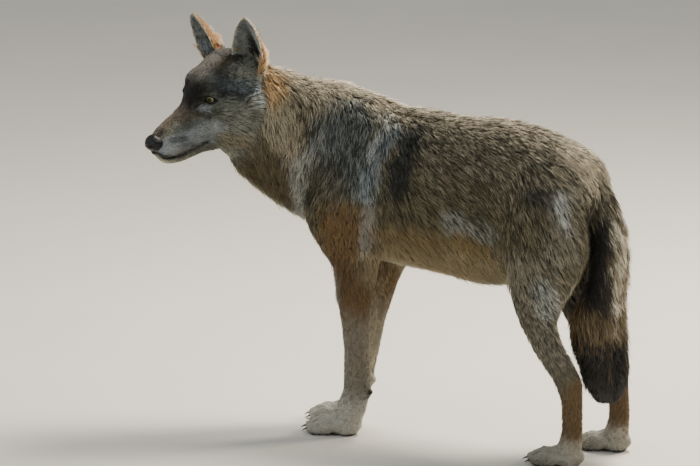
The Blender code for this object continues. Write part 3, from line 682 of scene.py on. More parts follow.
# the markings: hair colours, and where they lie; a few of them are painted shade, painted highlight and painted rim
# light
# colours at the root, along the hair and at the tip, and the percentage of hairs tipped black
hairColours = {
    "grizzle": ("#2c2a20 #6f6a56 #c6beaa", 54), "flank": ("#2b281b #5c573f #8f8870", 50),
    "nape": ("#554b3b #ab9f84 #f0e8d4", 27), "rustNape": ("#6b4f2e #b38d58 #e6cda0", 8),
    "mane": ("#1f2628 #4c5758 #8a9494", 55), "silver": ("#292e2d #7c827e #dfe3df", 38),
    "slate": ("#1d2427 #596870 #b4c1c7", 34), "night": ("#0b1012 #1e282b #40494d", 75),
    "neckTan": ("#1f1a10 #4a4027 #766542", 36), "throat": ("#6a684f #b5b193 #e6e3cc", 4),
    "legTan": ("#4c391b #674f2b #82673e", 8), "legPale": ("#67655b #8c897f #b2b0a8", 5),
    "paw": ("#7f7e74 #c0bfb3 #f0efe8", 4), "belly": ("#61573e #837658 #aa9d7b", 6),
    "cream": ("#8f866b #c4bb9f #e6dfc9", 2), "ochre": ("#54472c #78643e #998457", 9),
    # the back's hair: grizzled, with near-white tips that are partly a painted highlight from light above
    "back": ("#403a2e #988f79 #efe6d0", 46), "tailBlack": ("#030404 #070a0b #0d1214", 92),
    "tailBrown": ("#271f14 #54462f #857250", 34), "forehead": ("#0b0a07 #201e17 #454133", 70),
    "temple": ("#181f20 #45545a #869398", 42), "muzzleRust": ("#221a11 #46392a #665845", 38),
    "lipGrey": ("#1e2324 #4c5659 #76828a", 40), "muzzlePale": ("#4f565a #9aa5aa #dfe6ea", 10),
    "cheek": ("#35382f #74776b #b4b6a9", 28), "chin": ("#7d7b66 #c4c1aa #e2dfca", 2),
    "earRust": ("#55381a #9a7142 #d3aa70", 8), "earHair": ("#3a3e3b #868c89 #c4c9c5", 7),
    # the next two are painted light: near-black shade for the hollow deep in the ear's cup, and near-white rim light
    # over the pale hair on the edges of the ears and tail
    "earHollowShade": ("#080908 #171814 #33342f", 10), "rim": ("#b3a987 #e2dac0 #f8f4e6", 0),
    "frost": ("#585d5d #b4bbbc #f6f9fa", 24), "toeShade": ("#24201b #3f3a32 #5d564b", 10),
    "black": ("#060606 #0b0b0c #141415", 50),
}
headMarks = [   # colour, path in centimetres in the head's frame, reach, strength
    ("cheek", [(-4, 0, -4), (4, -5, -4)], 14, 1.0),
    ("forehead", [(-3, 0, 3), (8, 0, 8)], 4.6, 1.0),
    ("forehead", [(-6, 0, 1), (-2, 0, 4)], 2.0, 0.8),
    ("temple", [(1.5, -4.8, 3.6), (4.5, -6.8, 1.5), (7, -8.6, 1.0)], 2.6, 0.9),
    ("neckTan", [(4, -2.8, 6.6), (7.5, -4.5, 7.2)], 1.0, 0.65),
    ("muzzleRust", [(-13.5, 0, -1.8), (-10, 0, -0.6), (-6.5, 0, 0.4)], 1.9, 0.95),
    ("muzzleRust", [(-7.5, -2.0, -0.9), (-4.5, -2.5, -0.7)], 1.3, 0.75),
    ("muzzlePale", [(-13.5, -2.2, -4.8), (-10, -2.7, -5.0), (-7.3, -3.1, -5.0), (-3.5, -3.6, -6.0)], 1.9, 1.0),
    ("muzzlePale", [(-5, -3.3, -3.8), (-1.8, -4.2, -4.5)], 1.6, 0.95),
    ("muzzlePale", [(-3.4, -2.9, -0.2), (-1.2, -3.9, -0.6)], 0.75, 0.85),
    ("forehead", [(-14.3, -0.7, -2.4), (-12.6, -1.0, -1.9)], 0.8, 0.65),
    ("lipGrey", [(-11.6, -2.6, -3.9), (-8.6, -2.9, -4.6)], 0.75, 0.75),
    ("lipGrey", [(-11.0, -2.7, -5.6), (-7.6, -3.1, -6.2)], 0.4, 0.55),
    ("lipGrey", [(-9.8, -2.4, -2.2), (-5.2, -3.0, -2.6)], 0.9, 0.55),
    ("frost", [(-4.6, -3.4, -4.2), (-2.6, -4.1, -4.9)], 1.2, 0.7),
    ("frost", [(-12.2, -2.2, -5.8), (-10.6, -2.5, -6.1)], 0.8, 0.6),
    ("black", [(-2.8, -3.9, -1.9), (-1.2, -5.2, -1.3)], 0.85, 0.55),
    ("ochre", [(-0.5, -4.6, -7.6), (2, -8, -8.5)], 1.8, 0.45),
    ("chin", [(-14.5, 0, -8.2), (-8, 0, -9.2), (-3, 0, -10)], 1.7, 1.0),
    ("cheek", [(2, -7.2, -1.2), (5, -10, -3.5)], 2.2, 0.8),
    ("muzzlePale", [(5.0, -10.2, -0.8), (7.4, -11, -1.4)], 1.3, 0.65),
    ("muzzlePale", [(4.4, -11.2, -4.6), (5.2, -11.4, -6.5)], 0.8, 0.55),
    ("forehead", [(1.2, -5.0, 1.7), (4, -6.6, 0.9)], 0.8, 0.6),
    ("black", [(-0.9, -2.75, 0.95), (-2.6, -2.6, 0.75), (-3.9, -2.6, 0.55)], 0.4, 0.98),
    ("black", [(0.9, -4.2, 1.5), (1.4, -4.5, 1.6)], 0.18, 0.45),
    ("black", lipLine, 0.48, 1.0),
    ("black", [(-15.8, 0, -4.5), (-15.6, 0, -6.2)], 1.1, 0.9),
    ("black", [(-15.0, -0.8, -5.7), (-14.3, -1.4, -6.2), (-13.6, -1.6, -6.9)], 0.75, 0.95),
]


def markRows(*rows):
    return [(name, alongNodes(*path), reach / 1000, strength / 100) for name, reach, strength, *path in rows]


bodyMarks = markRows(   # colour, reach in millimetres, strength in percent, path on the left side
    ("flank", 600, 100, "neck", (50, 50, 50), "loins", (50, 50, 50)),
    ("grizzle", 110, 85, "chest", (30, 30, 90), "loins", (80, 30, 85)),
    # along the top line: grizzled back hair whose pale tips are partly a painted highlight from above
    ("back", 60, 80, "neck", (60, 50, 100), "chest", (50, 50, 100), "loins", (40, 50, 100), (90, 50, 85)),
    ("nape", 60, 85, "neck", (50, 50, 95), (90, 45, 92), "chest", (20, 45, 95)),
    ("neckTan", 75, 95, "neck", (55, 10, 45), (75, 10, 30)),
    ("nape", 45, 55, "neck", (70, 10, 75), (88, 10, 62)),
    ("rustNape", 34, 98, "neck", (50, 30, 98), (56, 15, 88)),
    ("throat", 60, 95, "neck", (20, 50, 38), (45, 50, 22), (85, 50, 3)),
    ("silver", 24, 72, "chest", (11, 14, 84), "neck", (96, 14, 46), (81, 30, 13)),
    ("night", 13, 80, "chest", (17, 10, 74), (2, 10, 45)),
    ("mane", 62, 90, "chest", (22, 21, 85), (34, 10, 62)),
    ("flank", 45, 60, "chest", (14, 5, 55), (25, 3, 42)),
    ("nape", 28, 95, "chest", (40, 42, 95), (58, 26, 88)),
    ("slate", 29, 90, "chest", (58, 21, 82), (50, 10, 66), (45, 6, 52)),
    ("frost", 26, 95, "chest", (42, 34, 95), (52, 24, 87)),
    ("frost", 15, 60, "chest", (52, 22, 84), (47, 12, 72)),
    ("night", 27, 85, "chest", (76, 24, 86), (72, 10, 66), (68, 4, 55)),
    ("legTan", 66, 95, "chest", (30, 0, 28), "left_foreleg", (35, 10, 95), (40, 40, 35)),
    ("legPale", 16, 90, "chest", (49, 7, 42), (47, 6, 15)),
    ("ochre", 40, 60, "chest", (60, 10, 26), (92, 10, 22), "loins", (10, 10, 30)),
    ("belly", 60, 95, "chest", (60, 15, 8), (95, 15, 8), "loins", (20, 15, 18), (38, 20, 12)),
    ("cream", 50, 85, "chest", (10, 50, 0), (90, 50, 0), "loins", (20, 50, 0), (45, 50, 5)),
    ("silver", 26, 60, "loins", (10, 3, 46), (33, 6, 40)),
    ("ochre", 20, 75, "loins", (14, 8, 36), (32, 10, 28)),
    ("nape", 32, 85, "loins", (78, 40, 88), (98, 30, 74)),
    ("night", 20, 55, "loins", (60, 12, 66), (80, 12, 64)),
    ("legPale", 42, 42, "loins", (84, 12, 68), (84, 5, 34)),
    ("frost", 19, 72, "loins", (80, 12, 66), (86, 7, 50)),
    ("legPale", 70, 38, "left_thigh", (45, 3, 75), (55, 10, 20)),
    ("silver", 24, 85, "left_thigh", (58, 7, 74), (62, 10, 48)),
    ("cream", 24, 60, "left_thigh", (95, 40, 80), (75, 40, 30)),
    ("legPale", 34, 75, "left_foreleg", (15, 50, 85), (20, 50, 30), (25, 50, 0)),
    ("legPale", 105, 66, "left_foreleg", (40, 50, 36), (35, 50, -5)),
    ("legPale", 60, 30, "left_shank", (50, 50, 90), (60, 50, 10)),
    ("legTan", 34, 85, "left_shank", (90, 50, 60), (95, 50, 0), "left_hindpaw", (85, 50, 90)),
    ("cream", 30, 70, "left_foreleg", (45, 100, 80), (40, 100, 10)),
    ("paw", 62, 90, "left_forepaw", (20, 50, 40), (80, 50, 60)),
    ("paw", 40, 70, "left_hindpaw", (20, 50, 40), (70, 50, 40)),
    ("black", 11.5, 100, pads["wrist"]),
)
tailMarks = markRows(
    ("tailBrown", 600, 100, "tail", (50, 50, 50)),
    ("tailBlack", 47, 100, "tail", (34, 30, 97), (40, 15, 82), (43, 12, 58)),
    ("cream", 25, 100, "tail", (74, 40, 100), (88, 25, 88), (95, 18, 74), (98, 18, 52)),
    # painted rim light: near-white along the tail's rear edge, over its cream hair, as if lit from behind
    ("rim", 33, 100, "tail", (88, 25, 90), (98, 20, 72), (102, 20, 48), (104, 20, 30)),
    ("neckTan", 24, 40, "tail", (85, 30, 45), (85, 30, 25)),
    ("tailBlack", 66, 100, "tail", (48, 50, 24), (60, 50, 4)),
)


def hairRow(name):
    colours, dark = hairColours[name]
    return np.array(sum(map(toLinear, colours.split()), []) + [dark / 100])


def drift(points, wave):
    # a slow wandering between about -1 and 1, so that no border of a marking is an even curve
    made = np.zeros(len(points))
    for i, heading in enumerate([(1, 0.3, 0.6), (-0.5, 1, 0.4), (0.2, -0.7, 1), (0.9, 0.8, -0.5)]):
        made += np.sin((points @ np.array(heading)) * (6.28 / wave) * (1 + 0.37 * i) + 1.7 * i)
    return made / 2.2


def paintMarks(rows, marks, points, ragged):
    for i, (name, path, reach, strength) in enumerate(marks):
        gap = distanceAlong(points, path) / reach + ragged + 0.13 * drift(points, 1.3 * reach + 0.02 * i)
        rows = blend(rows, strength * fade(0.55, 1.30, gap), hairRow(name))
    return rows


def paintEar(side, points, normals, ragged):
    facing, around, height = inEar(side, points, normals)
    wobble = ragged * 0.6
    # painted shade: the middle of the cup low down, where the ear's hollow lies in shadow, takes near-black hair
    deep = fade(0.20, 0.55, np.abs(around) + wobble) * fade(0.45, 0.85, height + wobble)
    under = smoothStep(0.55, 0.80, height + wobble) * fade(0.93, 0.99, height)
    outer = smoothStep(0.45, 0.75, around + wobble) * fade(0.10, 0.30, height)
    brim = smoothStep(0.50, 0.85, around + wobble) * fade(0.55, 0.85, height)
    inner = np.tile(hairRow("earHair"), (len(points), 1))
    for share, name in ((0.25 * under, "forehead"), (deep, "earHollowShade"), (0.55 * brim, "earHair"),
                        (0.8 * outer, "muzzlePale")):
        inner = blend(inner, share, hairRow(name))
    rust = blend(hairRow("earRust"), 0.65 * fade(-0.1, 0.25, height), hairRow("rustNape"))
    made = blend(rust, smoothStep(0.05, 0.55, facing), inner)
    # the ear's edge: pale edge hair with painted rim light over it, near-white
    edge = fade(0.30, 0.75, np.abs(facing - 0.1)) * smoothStep(0.0, 0.25, height)
    return blend(made, 0.85 * edge, hairRow("rim"))


def markingsAt(points, normals, owners, headShare, ragged):
    start = np.tile(hairRow("flank"), (len(points), 1))
    body = paintMarks(start, bodyMarks, toLeftSide(points, owners), ragged)
    tail = onNodes(["tail"], owners)
    onTail = points[tail]
    tailMiddle = sum(boxes["tail"])[1] / 2
    onTail[:, 1] = tailMiddle - np.abs(onTail[:, 1] - tailMiddle)
    body[tail] = paintMarks(start[tail], tailMarks, onTail, ragged[tail])
    # painted shade: darker hair in the creases between the toes
    between = fade(0.0012, 0.0042, gapBetweenToes(points) + 0.002 * ragged)
    body = blend(body, 0.8 * between, hairRow("toeShade"))
    head = paintMarks(start, headMarks, leftHead(points), ragged)
    for side in sides:
        ear = onNodes(["ear_" + side], owners)
        head[ear] = paintEar(side, points[ear], normals[ear], ragged[ear])
    return blend(body, headShare, head)


# the finished skin's own fields: owners, sizes of the hair, and where the skin is bare
skinMesh = skin.data
points = meshPoints(skinMesh)
normals = meshNormals(skinMesh)
edges = meshEdges(skinMesh)
owners = nearestOwners(points)
headShare = shareOf(headNodes, owners, edges, 22)
sizes = hairSizes(points, owners, headShare, edges, 30)
# length, depth and width on the back of the ear, what is added low on it, and inside it, in tenths of a millimetre
earHairSizes = [np.array(size) / 10000 for size in ((85, 11, 13), (185, 75, 8), (190, 45, 12))]
for side in sides:
    ear = onNodes(["ear_" + side], owners)
    facing, _, height = inEar(side, points[ear], normals[ear])
    inner = smoothStep(0.35, 0.8, facing) * fade(0.75, 0.95, height)
    low = fade(0.0, 0.45, height) * fade(-0.2, 0.3, facing)
    sizes[ear] = blend(earHairSizes[0] + low[:, None] * earHairSizes[1], inner, earHairSizes[2])


def nearLids(points, side):
    close = distanceAlong(points, [eyeCentres[side]]) < lids["around"]
    return np.where(close, lidShare(points, side)[0], farAway)


lidValue = np.minimum(nearLids(points, "left"), nearLids(points, "right"))
bareSkin = (lidValue < lids["bare"]) | (points[:, 2] < pads["soles"])
bareSkin |= distanceAlong(leftHead(points), lipLine) < lip["bare"]
bareSkin |= distanceAlong(points, [noseMiddle]) < noseBed["bare"]
bareSkin |= distanceAlong(toLeftSide(points, owners), [pads["wrist"]]) < pads["reach"]


def setColours(mesh, name, colours):
    layer = mesh.color_attributes.new(name, "FLOAT_COLOR", "POINT")
    opaque = np.concatenate([colours, np.ones((len(colours), 1))], 1)
    layer.data.foreach_set("color", opaque.astype(np.float32).ravel())


rows = markingsAt(points, normals, owners, headShare, np.zeros(len(points)))
hideColour = (0.55 * rows[:, 0:3] + 0.45 * rows[:, 3:6]) * (1 - 0.35 * rows[:, 9:10])
onLids, onSoles = fade(0.16, 0.32, lidValue), fade(pads["soles"], 0.0075, points[:, 2])
for share, colour in ((onLids, "#0c0b0b"), (onSoles, "#1a1817")):
    hideColour = blend(hideColour, share, np.array(toLinear(colour)))
setColours(skinMesh, "coatColour", hideColour)

# wolf hide under short fur: matt and soft, with the fine grain of hair roots in bundles of 1.5 mm
hideMaterial, shader, grain = hairyMaterial(
    "wolfHideUnderfur", {"Roughness": 0.82, "Specular IOR Level": 0.22, "Sheen Weight": 0.08}, 650.0, 3.0, 0.62, 1.30)
bump = addNode(hideMaterial, "ShaderNodeBump", {"Strength": 0.6, "Distance": 0.0012},
               {"Height": grain.outputs["Fac"]})
connect(hideMaterial, bump.outputs["Normal"], shader.inputs["Normal"])
setMaterial(skinMesh, hideMaterial)
say("skin painted")


# the coat: closed tapering tufts that follow the lie, one mesh for each part
coat = {
    "clump": 7.0,        # tufts that lean together into one lock
    "pull": 0.50,        # how far a lock's tips draw together
    "stray": 0.10,       # sideways wander of a tip, as a share of its length
    "patch": 0.003,      # size of a tuft's patch in the OFBake map
    "lift": 0.25,        # how far a tip lifts at random, as a share of its height
    "ragged": (0.24, 0.16),   # how far a lock and a single tuft stray over the border of a marking
    "rooted": 0.0008,    # how far a tuft's foot stands below the skin, in metres
    "fineness": 0.0022,  # width of hair at which tufts stand at their usual density
    # least and most of a tuft's size as a share of the hair's size there, and of its lightness
    "length": (0.72, 1.18), "height": (0.55, 1.15), "width": (0.75, 1.20), "light": (0.86, 1.14),
}
# tufts, bends along a tuft, the slot, and the nodes that each part's coat grows on
coatParts = {
    "coatFace": (34000, 0, "coat_grey", "head lower_jaw"),
    "coatCheeks": (12500, 1, "coat_grey", "head lower_jaw"),
    "coatEars": (11000, 0, "coat_grey", "ear_left ear_right"),
    "coatNeckLeft": (11500, 1, "coat_grey", "neck"),
    "coatNeckRight": (11500, 1, "coat_grey", "neck"),
    "coatChestLeft": (13500, 1, "coat_grey", "chest"),
    "coatChestRight": (13500, 1, "coat_grey", "chest"),
    "coatLoinsLeft": (12500, 1, "coat_grey", "loins"),
    "coatLoinsRight": (12500, 1, "coat_grey", "loins"),
    "coatThighs": (11500, 1, "coat_grey", "thigh"),
    "coatTail": (9000, 2, "coat_dark", "tail"),
    "coatForelegs": (27000, 0, "coat_tan", "foreleg forepaw"),
    "coatHindLegs": (17000, 0, "coat_tan", "shank hindpaw"),
}
skinTriangles = readAll(skinMesh.polygons, "vertices", 3, np.int64)
corners = points[skinTriangles]
triangleAreas = np.linalg.norm(np.cross(corners[:, 1] - corners[:, 0], corners[:, 2] - corners[:, 0]), axis=1) / 2
triangleMiddles = corners.mean(1)
triangleKinds = np.array(kinds)[owners[skinTriangles[:, 0]]]
skinTree = BVHTree.FromPolygons(points.tolist(), skinTriangles.tolist())


def partOfSkin(name, nodes):
    chosen = np.isin(triangleKinds, nodes.split())
    if name.endswith("Left"):
        chosen &= triangleMiddles[:, 1] <= middleY
    elif name.endswith("Right"):
        chosen &= triangleMiddles[:, 1] > middleY
    elif name in ("coatFace", "coatCheeks"):
        local = leftHead(triangleMiddles)
        onFace = (local[:, 0] < 1.6 + 0.5 * local[:, 2]) & (local[:, 1] > -5.6)
        chosen &= onFace if name == "coatFace" else ~onFace
    return chosen


def unwrapOf(triangles):
    used, flat = np.unique(triangles, return_inverse=True)
    mesh = bpy.data.meshes.new("unwrap")
    mesh.from_pydata(points[used].tolist(), [], flat.reshape(-1, 3).tolist())
    obj = bpy.data.objects.new("unwrap", mesh)
    scene.collection.objects.link(obj)
    editAll(obj, bpy.ops.uv.smart_project, angle_limit=math.radians(66), island_margin=0.002)
    uv = readAll(mesh.uv_layers.active.uv, "vector", 2, np.float32)
    bpy.data.objects.remove(obj)
    return uv.reshape(-1, 3, 2)


def onSkin(places):
    found = [skinTree.find_nearest(Vector(place))[:3:2] for place in places]
    index = np.array([item[1] for item in found])
    return np.array([item[0] for item in found]), unit(normals[skinTriangles[index]].mean(1))


def evenRoots(chosen, wanted, rng):
    # random places on the skin, thinned so that no two share a small cell
    triangles = np.nonzero(chosen)[0]
    weight = triangleAreas[triangles] * (coat["fineness"] / sizes[skinTriangles[triangles], 2].mean(1)) ** 1.5
    weight[bareSkin[skinTriangles[triangles]].mean(1) > 0.5] = 0
    picked = rng.choice(triangles, wanted * 2, p=weight / weight.sum())
    a, b = rng.random(len(picked)), rng.random(len(picked))
    a, b = np.where(a + b > 1, 1 - a, a), np.where(a + b > 1, 1 - b, b)
    share = np.stack([1 - a - b, a, b], 1)
    places = (points[skinTriangles[picked]] * share[:, :, None]).sum(1)
    spacing = 0.55 * np.sqrt(triangleAreas[triangles].sum() / wanted)
    key = np.floor(places / spacing).astype(np.int64)
    _, first = np.unique(key @ np.array([1, 10007, 100000007]), return_index=True)
    rest = np.setdiff1d(np.arange(len(picked)), first)
    order = np.concatenate([rng.permutation(first), rng.permutation(rest)])[:wanted]
    return picked[order], share[order], places[order]


def growCoat(name, wanted, bends, slot, nodes, seed):
    rng = np.random.default_rng(seed)
    chosen = partOfSkin(name, nodes)
    picked, share, roots = evenRoots(chosen, wanted, rng)
    atRoots = skinTriangles[picked]
    count = len(roots)
    normal = unit((normals[atRoots] * share[:, :, None]).sum(1))
    size = (sizes[atRoots] * share[:, :, None]).sum(1)
    inHead = (headShare[atRoots] * share).sum(1)
    owner = owners[atRoots[:, 0]]
    rowOf = np.full(len(skinTriangles), -1)
    rowOf[np.nonzero(chosen)[0]] = np.arange(chosen.sum())
    rootUv = (unwrapOf(skinTriangles[chosen])[rowOf[picked]] * share[:, :, None]).sum(1)

    length, height, width = size.T * [rng.uniform(*coat[key], count) for key in ("length", "height", "width")]
    steps = bends + 1
    spots, up = [roots], [normal]
    for _ in range(steps):   # each tuft walks over the skin along the lie of the hair
        way = lieOfHair(spots[-1], owner, inHead, normal)
        way = unit(way - (way * up[-1]).sum(1, keepdims=True) * up[-1])
        spot, upThere = onSkin(spots[-1] + way * (length / steps)[:, None])
        spots.append(spot)
        up.append(upThere)
    rises = [0.0] + [(0.75 if bends == 1 else 0.60 + 0.30 * i) for i in range(bends)] + [1.0]
    centres = [spot + direction * (height * rise)[:, None] for spot, direction, rise in zip(spots, up, rises)]

    # locks: the tufts nearest one of a few chosen tufts lean towards its tip
    leaders = rng.permutation(count)[:max(1, int(count / coat["clump"]))]
    tree = KDTree(len(leaders))
    for i, leader in enumerate(leaders):
        tree.insert(Vector(roots[leader]), i)
    tree.balance()
    lock = np.array([tree.find(Vector(place))[1] for place in roots])
    leader = leaders[lock]
    for i in range(1, steps + 1):
        centres[i] = centres[i] + coat["pull"] * (i / steps) ** 1.3 * (centres[i][leader] - centres[i])
    across = unit(np.cross(centres[-1] - centres[0], normal))
    centres[-1] = centres[-1] + across * (length * coat["stray"] * rng.standard_normal(count))[:, None]
    centres[-1] = centres[-1] + up[-1] * (height * coat["lift"] * np.abs(rng.standard_normal(count)))[:, None]

    # colours: a lock shares most of its raggedness, black tips and lightness
    ofLock, ofTuft = coat["ragged"]
    ragged = rng.uniform(-ofLock, ofLock, len(leaders))[lock] + rng.uniform(-ofTuft, ofTuft, count)
    row = markingsAt(roots, normal, owner, inHead, ragged)
    rootColour, middleColour, tipColour = row[:, 0:3], row[:, 3:6], row[:, 6:9]
    dark = ((rng.random(len(leaders))[lock] * 0.45 + rng.random(count) * 0.55) < row[:, 9])[:, None]
    light = (0.82 + 0.36 * rng.random(len(leaders))[lock]) * rng.uniform(*coat["light"], count)
    tipColour = np.where(dark, rootColour * 0.40, tipColour)
    middleColour = np.where(dark, middleColour * 0.72 + rootColour * 0.1, middleColour)
    if bends == 0:
        ringColours = [0.45 * rootColour + 0.55 * middleColour]
        tipColour = 0.35 * middleColour + 0.65 * tipColour
    else:
        ringColours = [rootColour, middleColour, 0.5 * (middleColour + tipColour)][:steps]

    verts, tints = [], []
    swell = [0.80] + [1.0 - 0.28 * i for i in range(bends)]
    for i in range(steps):
        along = unit(centres[i + 1] - centres[i])
        side = unit(np.cross(along, up[i]))
        top = np.cross(side, along)
        half = (width * swell[i] / 2)[:, None]
        base = centres[i] - (up[i] * coat["rooted"] if i == 0 else 0)
        verts += [base - side * half, base + side * half, base + top * half * 0.9]
        tints += [ringColours[i]] * 3
    verts.append(centres[-1])
    tints.append(tipColour)
    perTuft = len(verts)
    verts = np.stack(verts, 1).reshape(-1, 3)
    verts[:, 2] = np.maximum(verts[:, 2], 0.0003)   # no tip goes into the floor
    tints = (np.stack(tints, 1) * light[:, None, None]).reshape(-1, 3)

    faces = [(0, 1, 2)]
    for a in range(0, 3 * bends, 3):
        for j, k in ((0, 1), (1, 2), (2, 0)):
            faces += [(a + k, a + j, a + j + 3), (a + k, a + j + 3, a + k + 3)]
    last, tip = 3 * bends, 3 * bends + 3
    faces += [(last + k, last + j, tip) for j, k in ((0, 1), (1, 2), (2, 0))]
    faces = (np.array(faces)[None] + (np.arange(count) * perTuft)[:, None, None]).reshape(-1, 3)
    patchAcross = np.array([-0.5, 0.5, 0.0] * steps + [0.0]) * coat["patch"]
    patchAlong = (np.repeat(np.arange(steps) / steps, 3).tolist() + [1.0] - np.full(perTuft, 0.5)) * coat["patch"]
    uv = rootUv[:, None, :] + np.stack([patchAcross, patchAlong], 1)[None]
    looseMesh(name, verts, faces, tints, np.clip(uv.reshape(-1, 2), 0.001, 0.999))


def looseMesh(name, verts, faces, tints, uv):
    mesh = bpy.data.meshes.new(name)
    mesh.vertices.add(len(verts))
    mesh.vertices.foreach_set("co", verts.astype(np.float32).ravel())
    mesh.loops.add(faces.size)
    mesh.loops.foreach_set("vertex_index", faces.astype(np.int32).ravel())
    mesh.polygons.add(len(faces))
    mesh.polygons.foreach_set("loop_start", (np.arange(len(faces)) * 3).astype(np.int32))
    smoothFaces(mesh)
    layer = mesh.uv_layers.new(name="OFBake")
    layer.uv.foreach_set("vector", uv[faces.ravel()].astype(np.float32).ravel())
    setColours(mesh, "coatColour", tints)
    mesh.update(calc_edges=True)
    obj = bpy.data.objects.new(name, mesh)
    scene.collection.objects.link(obj)
    setMaterial(mesh, hairMaterial)
    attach(obj, "root")
    say(f"{name}: {len(faces)} triangles")


# guard hairs: keratin in bands about 1 mm long, dull at the root and slightly glossy along the length
hairMaterial = hairyMaterial("wolfGuardHair", {"Roughness": 0.58, "Specular IOR Level": 0.30, "Sheen Weight": 0.10},
                             900.0, 2.0, 0.78, 1.20)[0]
for seed, (name, settings) in enumerate(coatParts.items()):
    growCoat(name, *settings, seed)


# eyes
eyeForm = {"bulge": 0.0009, "iris": 43.0}   # the cornea's height in metres and the iris's half angle in degrees


def makeEye(side):
    radius = lids["eyeRadius"]
    eye = addObject(side + "Eyeball", bpy.ops.mesh.primitive_uv_sphere_add, segments=48, ring_count=40, radius=radius)
    ball = meshPoints(eye.data)
    polar = np.degrees(np.arccos(np.clip(ball[:, 2] / radius, -1, 1)))
    cornea = groove(polar, eyeForm["iris"] + 4)
    ball = ball * (1 + cornea * eyeForm["bulge"] / radius)[:, None]
    axes = eyeFrame(side)
    setPoints(eye.data, ball @ np.stack([axes[:, 1], axes[:, 2], axes[:, 0]], 1).T + eyeCentres[side])
    if np.linalg.det(axes) < 0:
        eye.data.flip_normals()
    level = eye.data.attributes.new("fromPupil", "FLOAT", "POINT")
    level.data.foreach_set("value", (polar / 90).astype(np.float32))
    smoothFaces(eye.data)
    setMaterial(eye.data, eyeMaterial)
    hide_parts("eye_" + side)
    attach(eye, "root")


# wet eye: clear film over a yellow-green iris with a dark ring, about 60 fibres round it and a round pupil
eyeMaterial, shader = newMaterial("wetAmberEye", {"Roughness": 0.30, "Specular IOR Level": 0.2, "Coat Weight": 0.5,
                                                  "Coat Roughness": 0.03, "Coat IOR": 1.38})
level = addNode(eyeMaterial, "ShaderNodeAttribute", {"attribute_name": "fromPupil"})
ring = addNode(eyeMaterial, "ShaderNodeValToRGB", None, {"Fac": level.outputs["Fac"]})
setRamp(ring, [(0.0, "#010101"), (0.165, "#020202"), (0.20, "#3f3f1c"), (0.28, "#85854a"), (0.37, "#a3a263"),
               (0.425, "#5f5c30"), (0.46, "#0d0c07"), (0.52, "#0a0806"), (0.62, "#2c231c")])
unwrapped = addNode(eyeMaterial, "ShaderNodeTexCoord")
stretched = addNode(eyeMaterial, "ShaderNodeMapping", {"Scale": (60.0, 2.0, 1.0)},
                    {"Vector": unwrapped.outputs["UV"]})
fibres = addNode(eyeMaterial, "ShaderNodeTexNoise", {"Scale": 1.0, "Detail": 3.0},
                 {"Vector": stretched.outputs["Vector"]})
shadeByNoise(eyeMaterial, shader, ring.outputs["Color"], fibres, 0.65, 1.25)
for side in sides:
    makeEye(side)
say("eyes set")


# nose
noseForm = {"voxel": 0.0010, "grow": 0.0006, "flatten": 0.9}
hollows = [   # path in centimetres in the head's frame, reach, depth in millimetres
    ([(-15.75, -0.80, -3.75), (-15.3, -1.20, -3.70)], 0.36, 4.0),
    ([(-15.3, -1.20, -3.70), (-14.8, -1.60, -4.05), (-14.5, -1.75, -4.3)], 0.24, 2.4),
    ([(-16.1, 0, -3.4), (-15.7, 0, -5.0), (-15.3, 0, -6.2)], 0.16, 1.3),
    ([(-15.2, -1.9, -3.0), (-14.0, -2.1, -3.3)], 0.5, -0.8),
]
nose = joinNodes("noseLeather", ["nose"])
remesh(nose, noseForm["grow"], noseForm["voxel"])
edges = meshEdges(nose.data)
spots = relax(meshPoints(nose.data), edges, np.full(len(nose.data.vertices), 0.9), 30)
local = toHead(spots) * 100
local[:, 2] -= noseForm["flatten"] * np.maximum(local[:, 2] - noseTop(local[:, 0]), 0)
spots = relax(fromHead(local / 100), edges, np.full(len(spots), 0.8), 8)
setPoints(nose.data, spots)
inward = meshNormals(nose.data)
local = leftHead(spots)
for path, reach, deep in hollows:
    share = groove(distanceAlong(local, path), reach) ** 0.8
    spots = spots - inward * (0.001 * deep * share)[:, None]
setPoints(nose.data, spots)
smoothFaces(nose.data)
# moist nose leather: nearly black, with pebbles about 1.6 mm across
leather, shader = newMaterial("moistNoseLeather", {"Roughness": 0.40, "Specular IOR Level": 0.3,
                                                   "Base Color": toLinear("#08090a") + [1]})
where = addNode(leather, "ShaderNodeTexCoord")
pebbles = addNode(leather, "ShaderNodeTexVoronoi", {"Scale": 620.0}, {"Vector": where.outputs["Object"]})
bump = addNode(leather, "ShaderNodeBump", {"Strength": 0.55, "Distance": 0.0006, "invert": True},
               {"Height": pebbles.outputs["Distance"]})
connect(leather, bump.outputs["Normal"], shader.inputs["Normal"])
setMaterial(nose.data, leather)
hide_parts("nose")
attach(nose, "root")

# whiskers
whiskerForm = {"thick": 0.0006, "joints": 6, "taper": 0.72, "lean": 0.45, "curve": 0.35}
